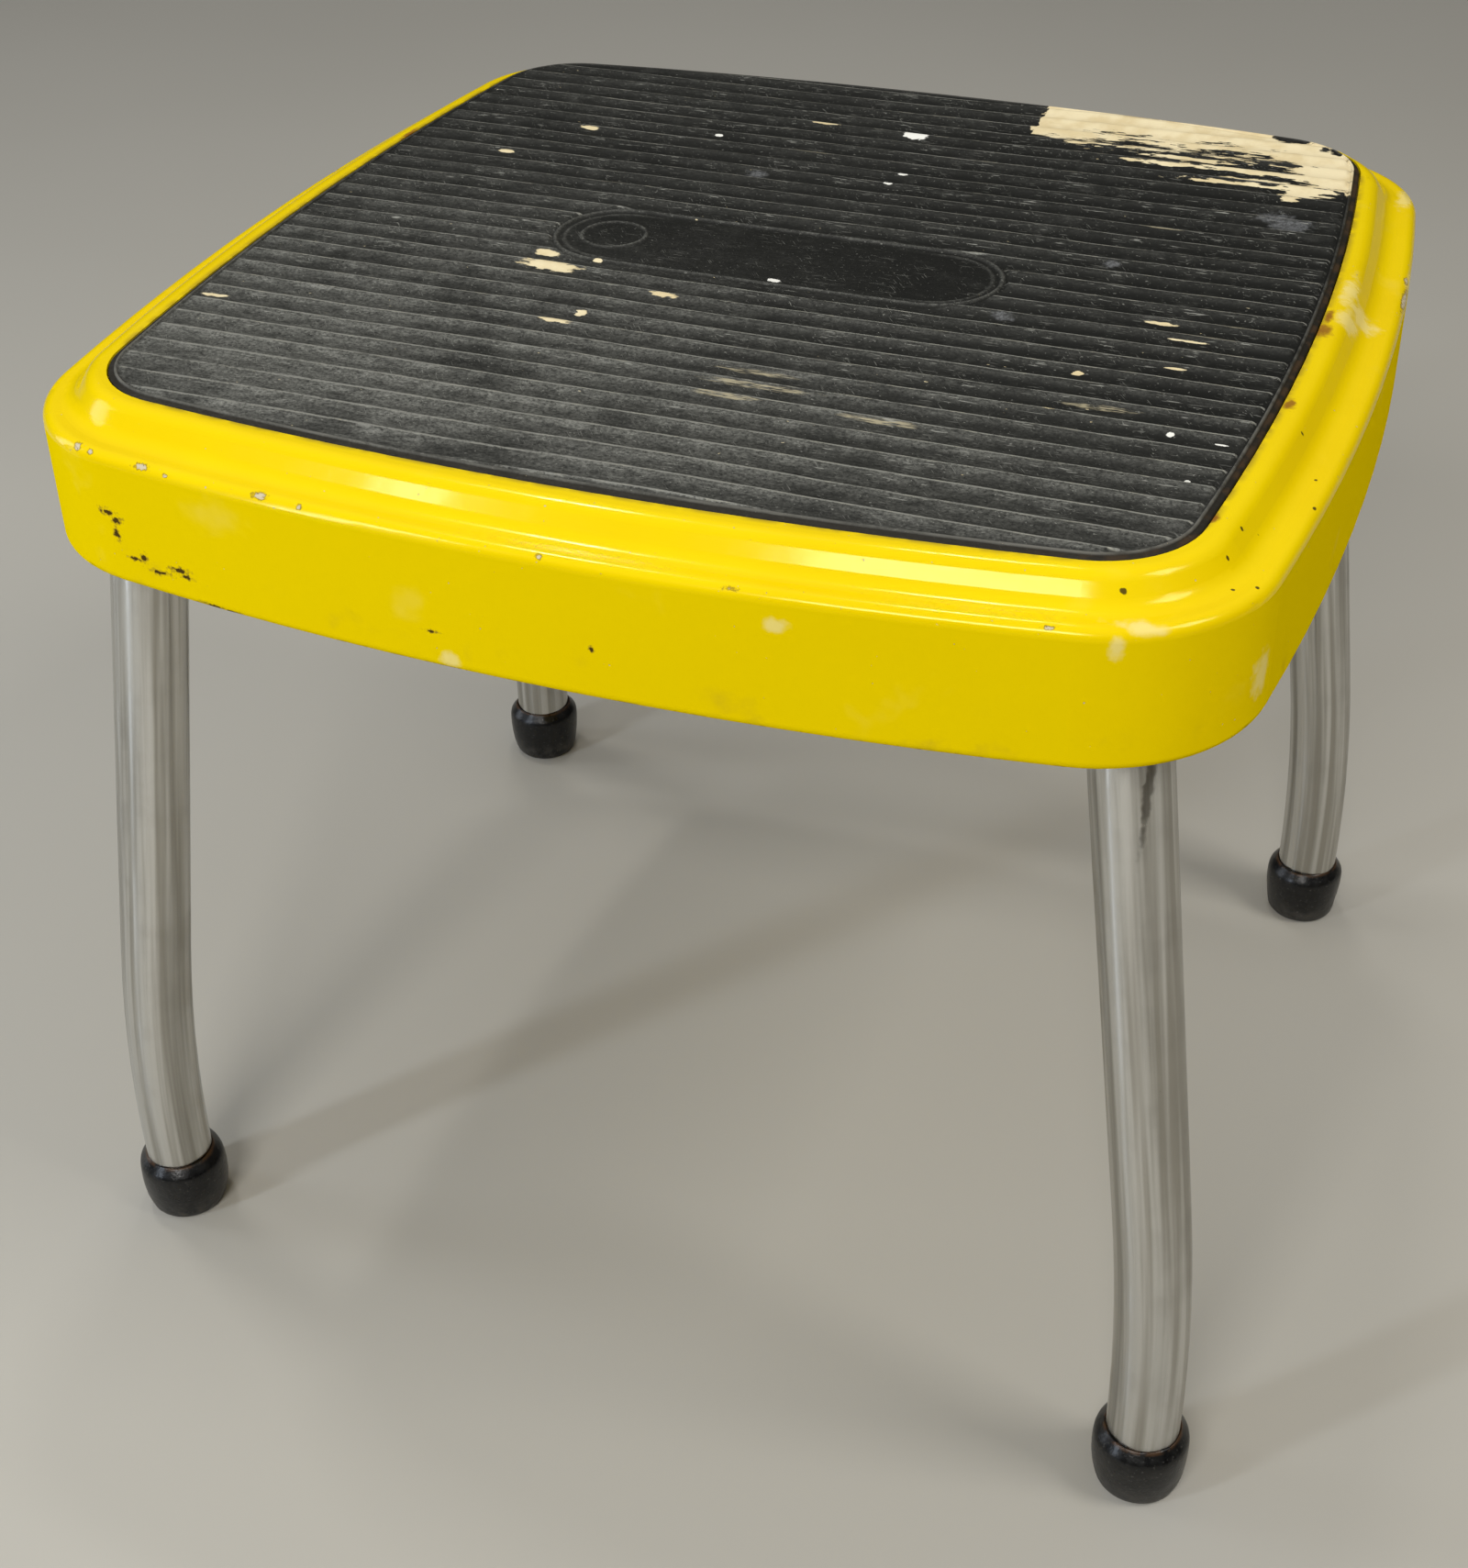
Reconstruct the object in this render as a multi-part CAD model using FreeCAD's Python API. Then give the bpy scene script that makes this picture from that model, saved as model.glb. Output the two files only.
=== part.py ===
import FreeCAD, Part

import math
import os

# A low metal step stool: an enamelled steel step pan with a ribbed rubber tread, carried on two bent
# tube leg frames with rubber tips.
# Millimetres. X runs along the tread's ribs, Y from front to back, Z up. The origin is on the floor,
# under the middle of the step. Left and right, front and rear are mirror images.

# ---- Driving dimensions ----

# Step pan
PAN_HALF_X = 174.0          # half width across the bowed left and right sides
PAN_HALF_Y = 169.0          # half depth across the bowed front and back sides
PAN_BOW_FRONT = 840.0       # radius of the bow of the front and back sides
PAN_BOW_SIDE = 990.0        # radius of the bow of the left and right sides
PAN_CORNER = 46.5           # outline corner radius
SHEET = 1.2                 # pan sheet thickness
APRON_BOTTOM_Z = 257.5      # lower edge of the apron
LEDGE_Z = 295.3             # narrow ledge on top of the apron
RIM_Z = 302.8               # flat rim around the tread
HEM = 7.0                   # width of the turned-in lower edge
APRON_DRAFT = 0.5           # how far the apron leans in over its height
LEDGE_WIDTH = 8.3
RISER_RUN = 5.6             # how far the step from ledge to rim leans in
RIM_REACH = 24.0            # where the swept edge of the pan ends, measured in from the outline
HEM_BEND = 2.5
APRON_BEND = 3.2
LEDGE_BEND = 6.0
RIM_BEND = 5.0

# Tread mat and its recess
MAT_HALF_X = 153.8
MAT_HALF_Y = 150.4
MAT_Y = 2.2                 # the mat and its recess sit a little behind the middle of the pan
MAT_BOW_FRONT = 1020.0
MAT_BOW_SIDE = 1100.0
MAT_CORNER = 27.0
RECESS_GAP = 0.4            # gap between the mat and the wall of its recess
RECESS_FLOOR_Z = 300.6
RECESS_WALL_Z = 302.3       # top of the recess wall, inside the thickness of the rim
MAT_BORDER_Z = 303.2        # flat border of the mat and the floor of its grooves
MAT_LIP_Z = 304.0           # thin raised line inside the border, and around the blank panel
MAT_RIB_Z = 304.3
MAT_BORDER = 1.5            # width of the border
MAT_BEVEL = 0.6             # bevel of the mat's edge where it stands above the rim
MAT_LIP = 1.0
RIB_FIELD_INSET = 2.8
RIBS_IN_FRONT = 15          # ribs in front of the one that runs through the origin
RIBS_BEHIND = 16
RIB_PITCH = 9.1
RIB_CREST = 3.6
PANEL_HALF_LENGTH = 68.5    # blank pill-shaped panel in the middle of the tread
PANEL_RADIUS = 20.0
PANEL_X = -2.0
PANEL_Y = 0.0

# Leg frames
TUBE_R = 10.7
TUBE_WALL = 1.2
FOOT_X = 164.3
FOOT_Y = 143.8
KNEE_Z = 66.0               # where the foot's and the leg's straight lines would meet
LEG_TOP_X = 137.0           # leg centre where it leaves the apron
LEG_TOP_Y = 132.3
CROSSBAR_Z = 281.0
KNEE_BEND = 550.0           # one long gentle bend from the tip to the middle of the leg
SHOULDER_BEND = 40.0

# Rubber tips and the steel washers inside them
TIP_HEIGHT = 23.0
TIP_BASE_R = 12.9
TIP_BULGE_R = 14.1
TIP_BULGE_Z = 13.0
TIP_SHOULDER_R = 13.6       # top of the barrel, where the sloping shoulder starts
TIP_SHOULDER_Z = 19.5
TIP_MOUTH_R = 11.7          # top edge of the shoulder, round the tube
TIP_EDGE = 1.6              # bevel round the tip's lower edge
TIP_FLOOR = 5.0             # rubber under the washer
TIP_WASHER = 1.5
TIP_WASHER_HOLE_R = 4.0

# Channels under the deck
CHANNEL_LENGTH = 190.0
CHANNEL_WEB = 22.0
CHANNEL_FLANGE = 7.0
CHANNEL_SHEET = 1.2
STIFFENER_LENGTH = 220.0
STIFFENER_DEPTH = 5.0

# Fasteners: M6 screws up through each crossbar into weld nuts
SCREW_Y = 62.0
SCREW_R = 2.95
SCREW_HOLE_R = 3.3
SCREW_HEAD_R = 5.6
SCREW_HEAD = 4.0
SCREW_SOCKET_R = 2.0
SCREW_SOCKET = 2.2
SCREW_TIP_GAP = 0.4         # screw end to deck
NUT_FLATS = 10.0
NUT_HEIGHT = 5.0
NUT_BORE_R = 3.0
SADDLE_R = 7.5
SADDLE_HEIGHT = 2.6         # thickness of the saddle washer under the tube's lowest line
SADDLE_WRAP = 3.7           # how far its edges rise beside the tube
LOCK_WASHER_R = 5.4
LOCK_WASHER = 1.6
LOCK_WASHER_SPLIT = 0.9

FIT_GAP = 0.02              # hairline gap between parts that touch

DECK_UNDER_Z = RECESS_FLOOR_Z - SHEET
TIP_SEAT_Z = TIP_FLOOR + TIP_WASHER

UP = FreeCAD.Vector(0, 0, 1)
CORNERS = {
    "front_left": (-1, -1),
    "front_right": (1, -1),
    "rear_left": (-1, 1),
    "rear_right": (1, 1),
}


def vec(x, y, z=0.0):
    return FreeCAD.Vector(x, y, z)


# ---- Bowed outlines ----
# An outline is eight arcs: four long bowed sides and four corners, all tangent.
# Insetting it keeps the arc centres and shortens the radii.

def bowed_arcs(half_x, half_y, bow_front, bow_side, corner):
    """Eight (centre x, centre y, radius, start angle, end angle), anticlockwise from the front."""
    front_centre_y = bow_front - half_y
    side_centre_x = half_x - bow_side
    gap = math.hypot(side_centre_x, front_centre_y)
    front_reach = bow_front - corner
    side_reach = bow_side - corner
    along = (front_reach ** 2 - side_reach ** 2 + gap ** 2) / (2 * gap)
    across = math.sqrt(front_reach ** 2 - along ** 2)
    to_side_x = side_centre_x / gap
    to_side_y = -front_centre_y / gap
    corner_x = to_side_x * along - to_side_y * across
    corner_y = front_centre_y + to_side_y * along + to_side_x * across
    if corner_x < 0:
        corner_x = to_side_x * along + to_side_y * across
        corner_y = front_centre_y + to_side_y * along - to_side_x * across
    front_end = math.atan2(corner_y - front_centre_y, corner_x)
    side_start = math.atan2(corner_y, corner_x - side_centre_x)
    half_turn = math.pi
    return [
        (0, front_centre_y, bow_front, -half_turn - front_end, front_end),
        (corner_x, corner_y, corner, front_end, side_start),
        (side_centre_x, 0, bow_side, side_start, -side_start),
        (corner_x, -corner_y, corner, -side_start, -front_end),
        (0, -front_centre_y, bow_front, -front_end, half_turn + front_end),
        (-corner_x, -corner_y, corner, half_turn + front_end, half_turn + side_start),
        (-side_centre_x, 0, bow_side, half_turn + side_start, half_turn - side_start),
        (-corner_x, corner_y, corner, half_turn - side_start, half_turn - front_end),
    ]


def arc_point(arc, inset, share, z):
    """Point on an arc of an inset outline, share 0 to 1 of the way along."""
    centre_x, centre_y, radius, start, end = arc
    angle = start + (end - start) * share
    reach = radius - inset
    return vec(centre_x + reach * math.cos(angle), centre_y + reach * math.sin(angle), z)


def moved_back(arcs, shift):
    return [(x, y + shift, radius, start, end) for x, y, radius, start, end in arcs]


def outline_wire(arcs, inset, z):
    edges = []
    for arc in arcs:
        ends = [arc_point(arc, inset, share, z) for share in (0.0, 0.5, 1.0)]
        edges.append(Part.Arc(*ends).toShape())
    return Part.Wire(edges)


def outline_plate(arcs, inset, z_low, z_high):
    """Flat plate inside an outline."""
    face = Part.Face(outline_wire(arcs, inset, z_low))
    return face.extrude(vec(0, 0, z_high - z_low))


def bevelled_plate(arcs, inset_low, inset_high, z_low, z_high):
    """Plate whose edge leans from one inset at its foot to another at its top."""
    wires = [outline_wire(arcs, inset_low, z_low), outline_wire(arcs, inset_high, z_high)]
    return Part.makeLoft(wires, True, True)


# ---- Bent sheet profiles ----

def unit(a, b):
    length = math.hypot(b[0] - a[0], b[1] - a[1])
    return ((b[0] - a[0]) / length, (b[1] - a[1]) / length)


def offset_right(corners, distance):
    """Corner points of a chain of straight runs, moved to the right of the direction of travel."""
    runs = [unit(a, b) for a, b in zip(corners, corners[1:])]
    normals = [(run[1], -run[0]) for run in runs]
    befores = [normals[0]] + normals
    afters = normals + [normals[-1]]
    moved = []
    for point, before, after in zip(corners, befores, afters):
        share = distance / (1 + before[0] * after[0] + before[1] * after[1])
        moved.append((point[0] + share * (before[0] + after[0]), point[1] + share * (before[1] + after[1])))
    return moved


def turns_right(before, point, after):
    a = unit(before, point)
    b = unit(point, after)
    return a[0] * b[1] - a[1] * b[0] < 0


def rounded_chain(corners, radii):
    """A chain of straight runs with rounded corners, as lists of 2 (straight) or 3 (arc) points."""
    pieces = []
    start = corners[0]
    for before, point, after, radius in zip(corners, corners[1:], corners[2:], radii):
        a = unit(before, point)
        b = unit(point, after)
        cos_turn = a[0] * b[0] + a[1] * b[1]
        tangent = radius * math.sqrt((1 - cos_turn) / (1 + cos_turn))
        arc_in = (point[0] - a[0] * tangent, point[1] - a[1] * tangent)
        arc_out = (point[0] + b[0] * tangent, point[1] + b[1] * tangent)
        half_chord = math.hypot(arc_out[0] - arc_in[0], arc_out[1] - arc_in[1]) / 2
        rise = radius - math.sqrt(radius ** 2 - half_chord ** 2)
        middle = ((arc_in[0] + arc_out[0]) / 2, (arc_in[1] + arc_out[1]) / 2)
        to_corner = unit(middle, point)
        arc_mid = (middle[0] + to_corner[0] * rise, middle[1] + to_corner[1] * rise)
        pieces.append([start, arc_in])
        pieces.append([arc_in, arc_mid, arc_out])
        start = arc_out
    pieces.append([start, corners[-1]])
    return pieces


def edge_through(points):
    if len(points) == 2:
        return Part.makeLine(points[0], points[1])
    return Part.Arc(*points).toShape()


def sheet_profile(corners, radii, thickness, place):
    """Closed face of a bent sheet. Corners give its outer skin and place turns (inset, z) into a point."""
    inner = offset_right(corners, thickness)
    inner_radii = []
    for before, point, after, radius in zip(corners, corners[1:], corners[2:], radii):
        shift = -thickness if turns_right(before, point, after) else thickness
        inner_radii.append(radius + shift)
    outer_skin = rounded_chain(corners, radii)
    inner_skin = rounded_chain(inner, inner_radii)
    closing_runs = [[corners[-1], inner[-1]], [inner[0], corners[0]]]
    edges = []
    for piece in outer_skin + inner_skin + closing_runs:
        edges.append(edge_through([place(inset, z) for inset, z in piece]))
    return Part.Face(Part.Wire(Part.__sortEdges__(edges)))


def swept_edge(arcs, corners, radii, thickness):
    """A bent sheet profile carried round an outline, as one solid per arc."""
    solids = []
    for arc in arcs:
        centre_x, centre_y, radius, start, end = arc
        face = sheet_profile(corners, radii, thickness, lambda inset, z: arc_point(arc, inset, 0.0, z))
        solids.append(face.revolve(vec(centre_x, centre_y), UP, math.degrees(end - start)))
    return solids


# ---- Step pan and tread ----

PAN_ARCS = bowed_arcs(PAN_HALF_X, PAN_HALF_Y, PAN_BOW_FRONT, PAN_BOW_SIDE, PAN_CORNER)
MAT_ARCS = moved_back(bowed_arcs(MAT_HALF_X, MAT_HALF_Y, MAT_BOW_FRONT, MAT_BOW_SIDE, MAT_CORNER), MAT_Y)


def top_pan():
    """Pressed sheet pan: turned-in hem, apron, ledge, riser, rim and the recess for the tread."""
    riser_foot = APRON_DRAFT + LEDGE_WIDTH
    corners = [
        (HEM, APRON_BOTTOM_Z),
        (0.0, APRON_BOTTOM_Z),
        (APRON_DRAFT, LEDGE_Z),
        (riser_foot, LEDGE_Z),
        (riser_foot + RISER_RUN, RIM_Z),
        (RIM_REACH, RIM_Z),
    ]
    radii = [HEM_BEND, APRON_BEND, LEDGE_BEND, RIM_BEND]
    edge_solids = swept_edge(PAN_ARCS, corners, radii, SHEET)
    deck = outline_plate(PAN_ARCS, RIM_REACH - SHEET, RIM_Z - SHEET, RIM_Z)
    tray = outline_plate(MAT_ARCS, -RECESS_GAP - SHEET, DECK_UNDER_Z, RECESS_WALL_Z)
    pocket = outline_plate(MAT_ARCS, -RECESS_GAP, RECESS_FLOOR_Z, RIM_Z + SHEET)
    pan = edge_solids[0].fuse(edge_solids[1:] + [deck, tray]).cut(pocket)
    return pan.removeSplitter()


def pill(half_length, radius, z_low, z_high):
    """Upright pill-shaped block centred on the blank panel."""
    height = z_high - z_low
    low_x = PANEL_X - half_length + radius
    high_x = PANEL_X + half_length - radius
    middle = Part.makeBox(high_x - low_x, 2 * radius, height, vec(low_x, PANEL_Y - radius, z_low))
    ends = [Part.makeCylinder(radius, height, vec(x, PANEL_Y, z_low)) for x in (low_x, high_x)]
    return middle.fuse(ends).removeSplitter()


def ribs():
    """Straight ridges along X, trimmed to the rib field and cut away around the blank panel."""
    field = outline_plate(MAT_ARCS, RIB_FIELD_INSET, MAT_BORDER_Z, MAT_RIB_Z)
    field = field.cut(pill(PANEL_HALF_LENGTH, PANEL_RADIUS, MAT_BORDER_Z, MAT_RIB_Z))
    solids = []
    for number in range(-RIBS_IN_FRONT, RIBS_BEHIND + 1):
        corner = vec(-MAT_HALF_X, number * RIB_PITCH - RIB_CREST / 2, MAT_BORDER_Z)
        bar = Part.makeBox(2 * MAT_HALF_X, RIB_CREST, MAT_RIB_Z - MAT_BORDER_Z, corner)
        solids.extend(bar.common(field).Solids)
    return solids


def tread_mat():
    """Moulded rubber tread: bevelled border, raised lip line, ribs and a blank raised-edge panel."""
    shoulder_z = RIM_Z - FIT_GAP
    foot = outline_plate(MAT_ARCS, 0.0, RECESS_FLOOR_Z + FIT_GAP, shoulder_z)
    border = bevelled_plate(MAT_ARCS, 0.0, MAT_BEVEL, shoulder_z, MAT_BORDER_Z)
    lip = outline_plate(MAT_ARCS, MAT_BORDER, MAT_BORDER_Z, MAT_LIP_Z)
    lip = lip.cut(outline_plate(MAT_ARCS, MAT_BORDER + MAT_LIP, MAT_BORDER_Z, MAT_LIP_Z))
    ring = pill(PANEL_HALF_LENGTH, PANEL_RADIUS, MAT_BORDER_Z, MAT_LIP_Z)
    ring = ring.cut(pill(PANEL_HALF_LENGTH - MAT_LIP, PANEL_RADIUS - MAT_LIP, MAT_BORDER_Z, MAT_LIP_Z))
    return foot.fuse([border, lip, ring] + ribs()).removeSplitter()


# ---- Leg frames ----

def annulus(centre, direction):
    """Ring face with the tube's section, square to a direction."""
    outer, inner = [
        Part.Face(Part.Wire(Part.Circle(centre, direction, radius).toShape()))
        for radius in (TUBE_R, TUBE_R - TUBE_WALL)
    ]
    return outer.cut(inner).Faces[0]


def tube_run(start, end):
    run = end - start
    return annulus(start, run).extrude(run)


def tube_bend(before, corner, after, radius):
    """Bent tube round a corner of the centre line. Returns its solid and its two end points."""
    run_in = (corner - before).normalize()
    run_out = (after - corner).normalize()
    turn = run_in.getAngle(run_out)
    tangent = radius * math.tan(turn / 2)
    start = corner - run_in * tangent
    end = corner + run_out * tangent
    axis = run_in.cross(run_out).normalize()
    centre = start + axis.cross(run_in) * radius
    solid = annulus(start, run_in).revolve(centre, axis, math.degrees(turn))
    return solid, start, end


def shoulder_point():
    """Where the line of a front right leg meets the line of its crossbar."""
    rise = (CROSSBAR_Z - APRON_BOTTOM_Z) / (APRON_BOTTOM_Z - KNEE_Z)
    return (LEG_TOP_X - (FOOT_X - LEG_TOP_X) * rise, LEG_TOP_Y - (FOOT_Y - LEG_TOP_Y) * rise)


CROSSBAR_X, SHOULDER_Y = shoulder_point()


def screw_drills(side):
    """Upright drills for the two screws of one side, right through the crossbar and its channel."""
    low_z = CROSSBAR_Z - 2 * TUBE_R
    length = RIM_Z - low_z
    return [
        Part.makeCylinder(SCREW_HOLE_R, length, vec(side * CROSSBAR_X, y, low_z))
        for y in (-SCREW_Y, SCREW_Y)
    ]


def leg_frame(side):
    """One U-shaped tube: foot, knee, shoulder, crossbar, shoulder, knee and foot."""
    half = [
        (FOOT_X, FOOT_Y, TIP_SEAT_Z + FIT_GAP),
        (FOOT_X, FOOT_Y, KNEE_Z),
        (CROSSBAR_X, SHOULDER_Y, CROSSBAR_Z),
    ]
    front = [vec(side * x, -y, z) for x, y, z in half]
    rear = [vec(side * x, y, z) for x, y, z in reversed(half)]
    path = front + rear
    bends = [KNEE_BEND, SHOULDER_BEND, SHOULDER_BEND, KNEE_BEND]
    solids = []
    run_start = path[0]
    for before, corner, after, radius in zip(path, path[1:], path[2:], bends):
        solid, bend_start, bend_end = tube_bend(before, corner, after, radius)
        solids.append(tube_run(run_start, bend_start))
        solids.append(solid)
        run_start = bend_end
    solids.append(tube_run(run_start, path[-1]))
    frame = solids[0].fuse(solids[1:])
    return frame.cut(screw_drills(side)).removeSplitter()


# ---- Rubber tips ----

def foot_tip(side, end):
    """Slip-on rubber cup: barrel-shaped wall, sloping shoulder up to the mouth, bevelled foot."""
    x = side * FOOT_X
    y = end * FOOT_Y
    mouth_in = TUBE_R + FIT_GAP
    barrel = Part.Arc(
        vec(x + TIP_BASE_R, y, TIP_EDGE),
        vec(x + TIP_BULGE_R, y, TIP_BULGE_Z),
        vec(x + TIP_SHOULDER_R, y, TIP_SHOULDER_Z),
    ).toShape()
    points = [
        vec(x + TIP_SHOULDER_R, y, TIP_SHOULDER_Z),
        vec(x + TIP_MOUTH_R, y, TIP_HEIGHT),
        vec(x + mouth_in, y, TIP_HEIGHT),
        vec(x + mouth_in, y, TIP_FLOOR),
        vec(x, y, TIP_FLOOR),
        vec(x, y, 0),
        vec(x + TIP_BASE_R - TIP_EDGE, y, 0),
        vec(x + TIP_BASE_R, y, TIP_EDGE),
    ]
    edges = [barrel] + [Part.makeLine(a, b) for a, b in zip(points, points[1:])]
    section = Part.Face(Part.Wire(Part.__sortEdges__(edges)))
    return section.revolve(vec(x, y), UP, 360)


def ring(x, y, z, outer, inner, height):
    disc = Part.makeCylinder(outer, height, vec(x, y, z))
    return disc.cut(Part.makeCylinder(inner, height, vec(x, y, z)))


def tip_washers():
    """One steel washer at the bottom of each tip, so the tube's end can't cut through the rubber."""
    washers = []
    for side, end in CORNERS.values():
        radius = TUBE_R - FIT_GAP
        thickness = TIP_WASHER - FIT_GAP
        z = TIP_FLOOR + FIT_GAP
        washers.append(ring(side * FOOT_X, end * FOOT_Y, z, radius, TIP_WASHER_HOLE_R, thickness))
    return Part.makeCompound(washers)


# ---- Channels under the deck ----

def hat_channel(length, depth):
    """Open-top hat section along Y, its flanges' top faces at z = 0."""
    half_web = CHANNEL_WEB / 2
    foot = half_web + CHANNEL_FLANGE
    t = CHANNEL_SHEET
    points = [
        (-foot, 0), (-half_web, 0), (-half_web, t - depth), (half_web, t - depth), (half_web, 0), (foot, 0),
        (foot, -t), (half_web + t, -t), (half_web + t, -depth), (-half_web - t, -depth),
        (-half_web - t, -t), (-foot, -t), (-foot, 0),
    ]
    wire = Part.makePolygon([vec(x, -length / 2, z) for x, z in points])
    return Part.Face(wire).extrude(vec(0, length, 0))


def leg_channel(side):
    """Channel that the crossbar is screwed to, spot-welded under the deck."""
    depth = DECK_UNDER_Z - (CROSSBAR_Z + TUBE_R) - 2 * FIT_GAP
    channel = hat_channel(CHANNEL_LENGTH, depth)
    channel.translate(vec(side * CROSSBAR_X, 0, DECK_UNDER_Z - FIT_GAP))
    return channel.cut(screw_drills(side))


def deck_stiffener():
    """Shallow channel across the middle of the deck, between the two leg channels."""
    channel = hat_channel(STIFFENER_LENGTH, STIFFENER_DEPTH)
    channel.rotate(vec(0, 0), UP, 90)
    channel.translate(vec(0, 0, DECK_UNDER_Z - FIT_GAP))
    return channel


# ---- Fasteners ----

def screw_places():
    return [(side * CROSSBAR_X, y) for side in (-1, 1) for y in (-SCREW_Y, SCREW_Y)]


SADDLE_UNDER_Z = CROSSBAR_Z - TUBE_R - SADDLE_HEIGHT
LOCK_UNDER_Z = SADDLE_UNDER_Z - FIT_GAP - LOCK_WASHER


def hexagon(flats, x, y, z, height):
    reach = flats / math.sqrt(3)
    corners = []
    for step in range(7):
        angle = math.radians(60 * step)
        corners.append(vec(x + reach * math.cos(angle), y + reach * math.sin(angle), z))
    return Part.Face(Part.makePolygon(corners)).extrude(vec(0, 0, height))


def weld_nuts():
    web_top = CROSSBAR_Z + TUBE_R + CHANNEL_SHEET + 2 * FIT_GAP
    nuts = []
    for x, y in screw_places():
        bore = Part.makeCylinder(NUT_BORE_R, NUT_HEIGHT, vec(x, y, web_top))
        nuts.append(hexagon(NUT_FLATS, x, y, web_top, NUT_HEIGHT).cut(bore))
    return Part.makeCompound(nuts)


def saddle_washers():
    """Washers hollowed on top to sit round the crossbar."""
    washers = []
    for x, y in screw_places():
        blank = ring(x, y, SADDLE_UNDER_Z, SADDLE_R, SCREW_HOLE_R, SADDLE_HEIGHT + SADDLE_WRAP)
        seat_start = vec(x, y - 2 * SADDLE_R, CROSSBAR_Z)
        seat = Part.makeCylinder(TUBE_R + FIT_GAP, 4 * SADDLE_R, seat_start, vec(0, 1))
        washers.append(blank.cut(seat))
    return Part.makeCompound(washers)


def lock_washers():
    """Split spring washers under the screw heads."""
    washers = []
    for x, y in screw_places():
        split = Part.makeBox(LOCK_WASHER_R, LOCK_WASHER_SPLIT, LOCK_WASHER)
        split.translate(vec(x, y - LOCK_WASHER_SPLIT / 2, LOCK_UNDER_Z))
        washers.append(ring(x, y, LOCK_UNDER_Z, LOCK_WASHER_R, SCREW_HOLE_R, LOCK_WASHER).cut(split))
    return Part.makeCompound(washers)


def frame_screws():
    """Socket button-head screws, heads down."""
    screws = []
    head_top = LOCK_UNDER_Z - FIT_GAP
    for x, y in screw_places():
        foot = vec(x, y, head_top - SCREW_HEAD)
        head = Part.makeCylinder(SCREW_HEAD_R, SCREW_HEAD, foot)
        lower_rim = [edge for edge in head.Edges if abs(edge.BoundBox.ZMax - foot.z) < FIT_GAP]
        head = head.makeFillet(SCREW_HEAD / 2, lower_rim)
        shank_length = DECK_UNDER_Z - SCREW_TIP_GAP - head_top
        shank = Part.makeCylinder(SCREW_R, shank_length, vec(x, y, head_top))
        socket = hexagon(2 * SCREW_SOCKET_R, x, y, foot.z, SCREW_SOCKET)
        screws.append(head.fuse(shank).removeSplitter().cut(socket))
    return Part.makeCompound(screws)


def write(name, shape):
    shape.exportStep(os.path.join("parts", name + ".step"))


def main():
    os.makedirs("parts", exist_ok=True)
    write("top_pan", top_pan())
    write("tread_mat", tread_mat())
    for name, side in (("left", -1), ("right", 1)):
        write("leg_frame_" + name, leg_frame(side))
        write("leg_channel_" + name, leg_channel(side))
    for name, (side, end) in CORNERS.items():
        write("foot_tip_" + name, foot_tip(side, end))
    write("tip_washers", tip_washers())
    write("deck_stiffener", deck_stiffener())
    write("weld_nuts", weld_nuts())
    write("saddle_washers", saddle_washers())
    write("lock_washers", lock_washers())
    write("frame_screws", frame_screws())


main()
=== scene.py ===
import math

import bpy
import numpy as np
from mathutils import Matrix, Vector


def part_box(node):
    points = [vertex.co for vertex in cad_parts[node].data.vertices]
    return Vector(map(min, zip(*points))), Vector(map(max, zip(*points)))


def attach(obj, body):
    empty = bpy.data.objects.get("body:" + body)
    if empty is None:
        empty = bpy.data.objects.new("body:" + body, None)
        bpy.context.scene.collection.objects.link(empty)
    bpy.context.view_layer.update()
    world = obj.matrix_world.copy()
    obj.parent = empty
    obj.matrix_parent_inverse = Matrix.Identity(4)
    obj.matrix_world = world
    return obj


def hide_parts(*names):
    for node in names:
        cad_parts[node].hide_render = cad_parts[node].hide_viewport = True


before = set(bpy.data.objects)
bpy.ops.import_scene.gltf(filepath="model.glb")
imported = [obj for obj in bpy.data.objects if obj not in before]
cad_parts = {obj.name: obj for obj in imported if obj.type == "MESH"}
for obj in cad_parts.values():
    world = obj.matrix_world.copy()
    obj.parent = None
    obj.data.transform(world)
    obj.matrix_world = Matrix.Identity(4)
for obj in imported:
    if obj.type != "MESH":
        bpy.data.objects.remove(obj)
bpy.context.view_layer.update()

# The looks of a low enamelled step stool: worn yellow paint, a ribbed rubber tread with paint
# flecks, chromed tube legs and black rubber tips.
# Metres, in the frame of the CAD model: X along the tread's ribs, Y from front to back, Z up.
# Lists of marks are in millimetres.

MM = 0.001

# ---- Driving values ----

# Tread mat. Its width, depth and heights come from its CAD box.
MAT_BOW_FRONT = 1.020
MAT_BOW_SIDE = 1.100
MAT_CORNER = 0.027
RIB_PITCH = 9.1 * MM            # one rib runs through the middle of the panel
RIB_HEIGHT = 1.15 * MM
RIB_SHARPNESS = 1.7             # above 1 narrows the crests and widens the grooves
RIB_LEAN = 0.06                 # steeper rear flanks, as a share of the pitch
RIB_WAVER = 0.22 * MM           # slow waver of the ribs' lines
RIB_TREMBLE = 0.1 * MM          # quick waver of the ribs' lines
RIB_DETOUR = 0.9 * MM           # how far the ribs bow away from the panel
MAT_UNEVEN = 0.14 * MM          # how unevenly the mat lies on the pan
FIELD_INSET = 2.8 * MM          # where the ribbed field meets the lip
BORDER_DROP = 1.1 * MM          # from the highest line of the mat down to its border
CAP_SHARE = 0.6                 # how far up its corners the field is filled by straight rows
CAP_ROWS = 22
PANEL = (-2.0 * MM, 0.0)        # middle of the blank pill-shaped panel
PANEL_HALF_LENGTH = 68.5 * MM
PANEL_RADIUS = 20.0 * MM
BOSS = (-52.8 * MM, 0.4 * MM)   # middle of the round raised ring on the panel
BOSS_RADIUS = 9.6 * MM
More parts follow.
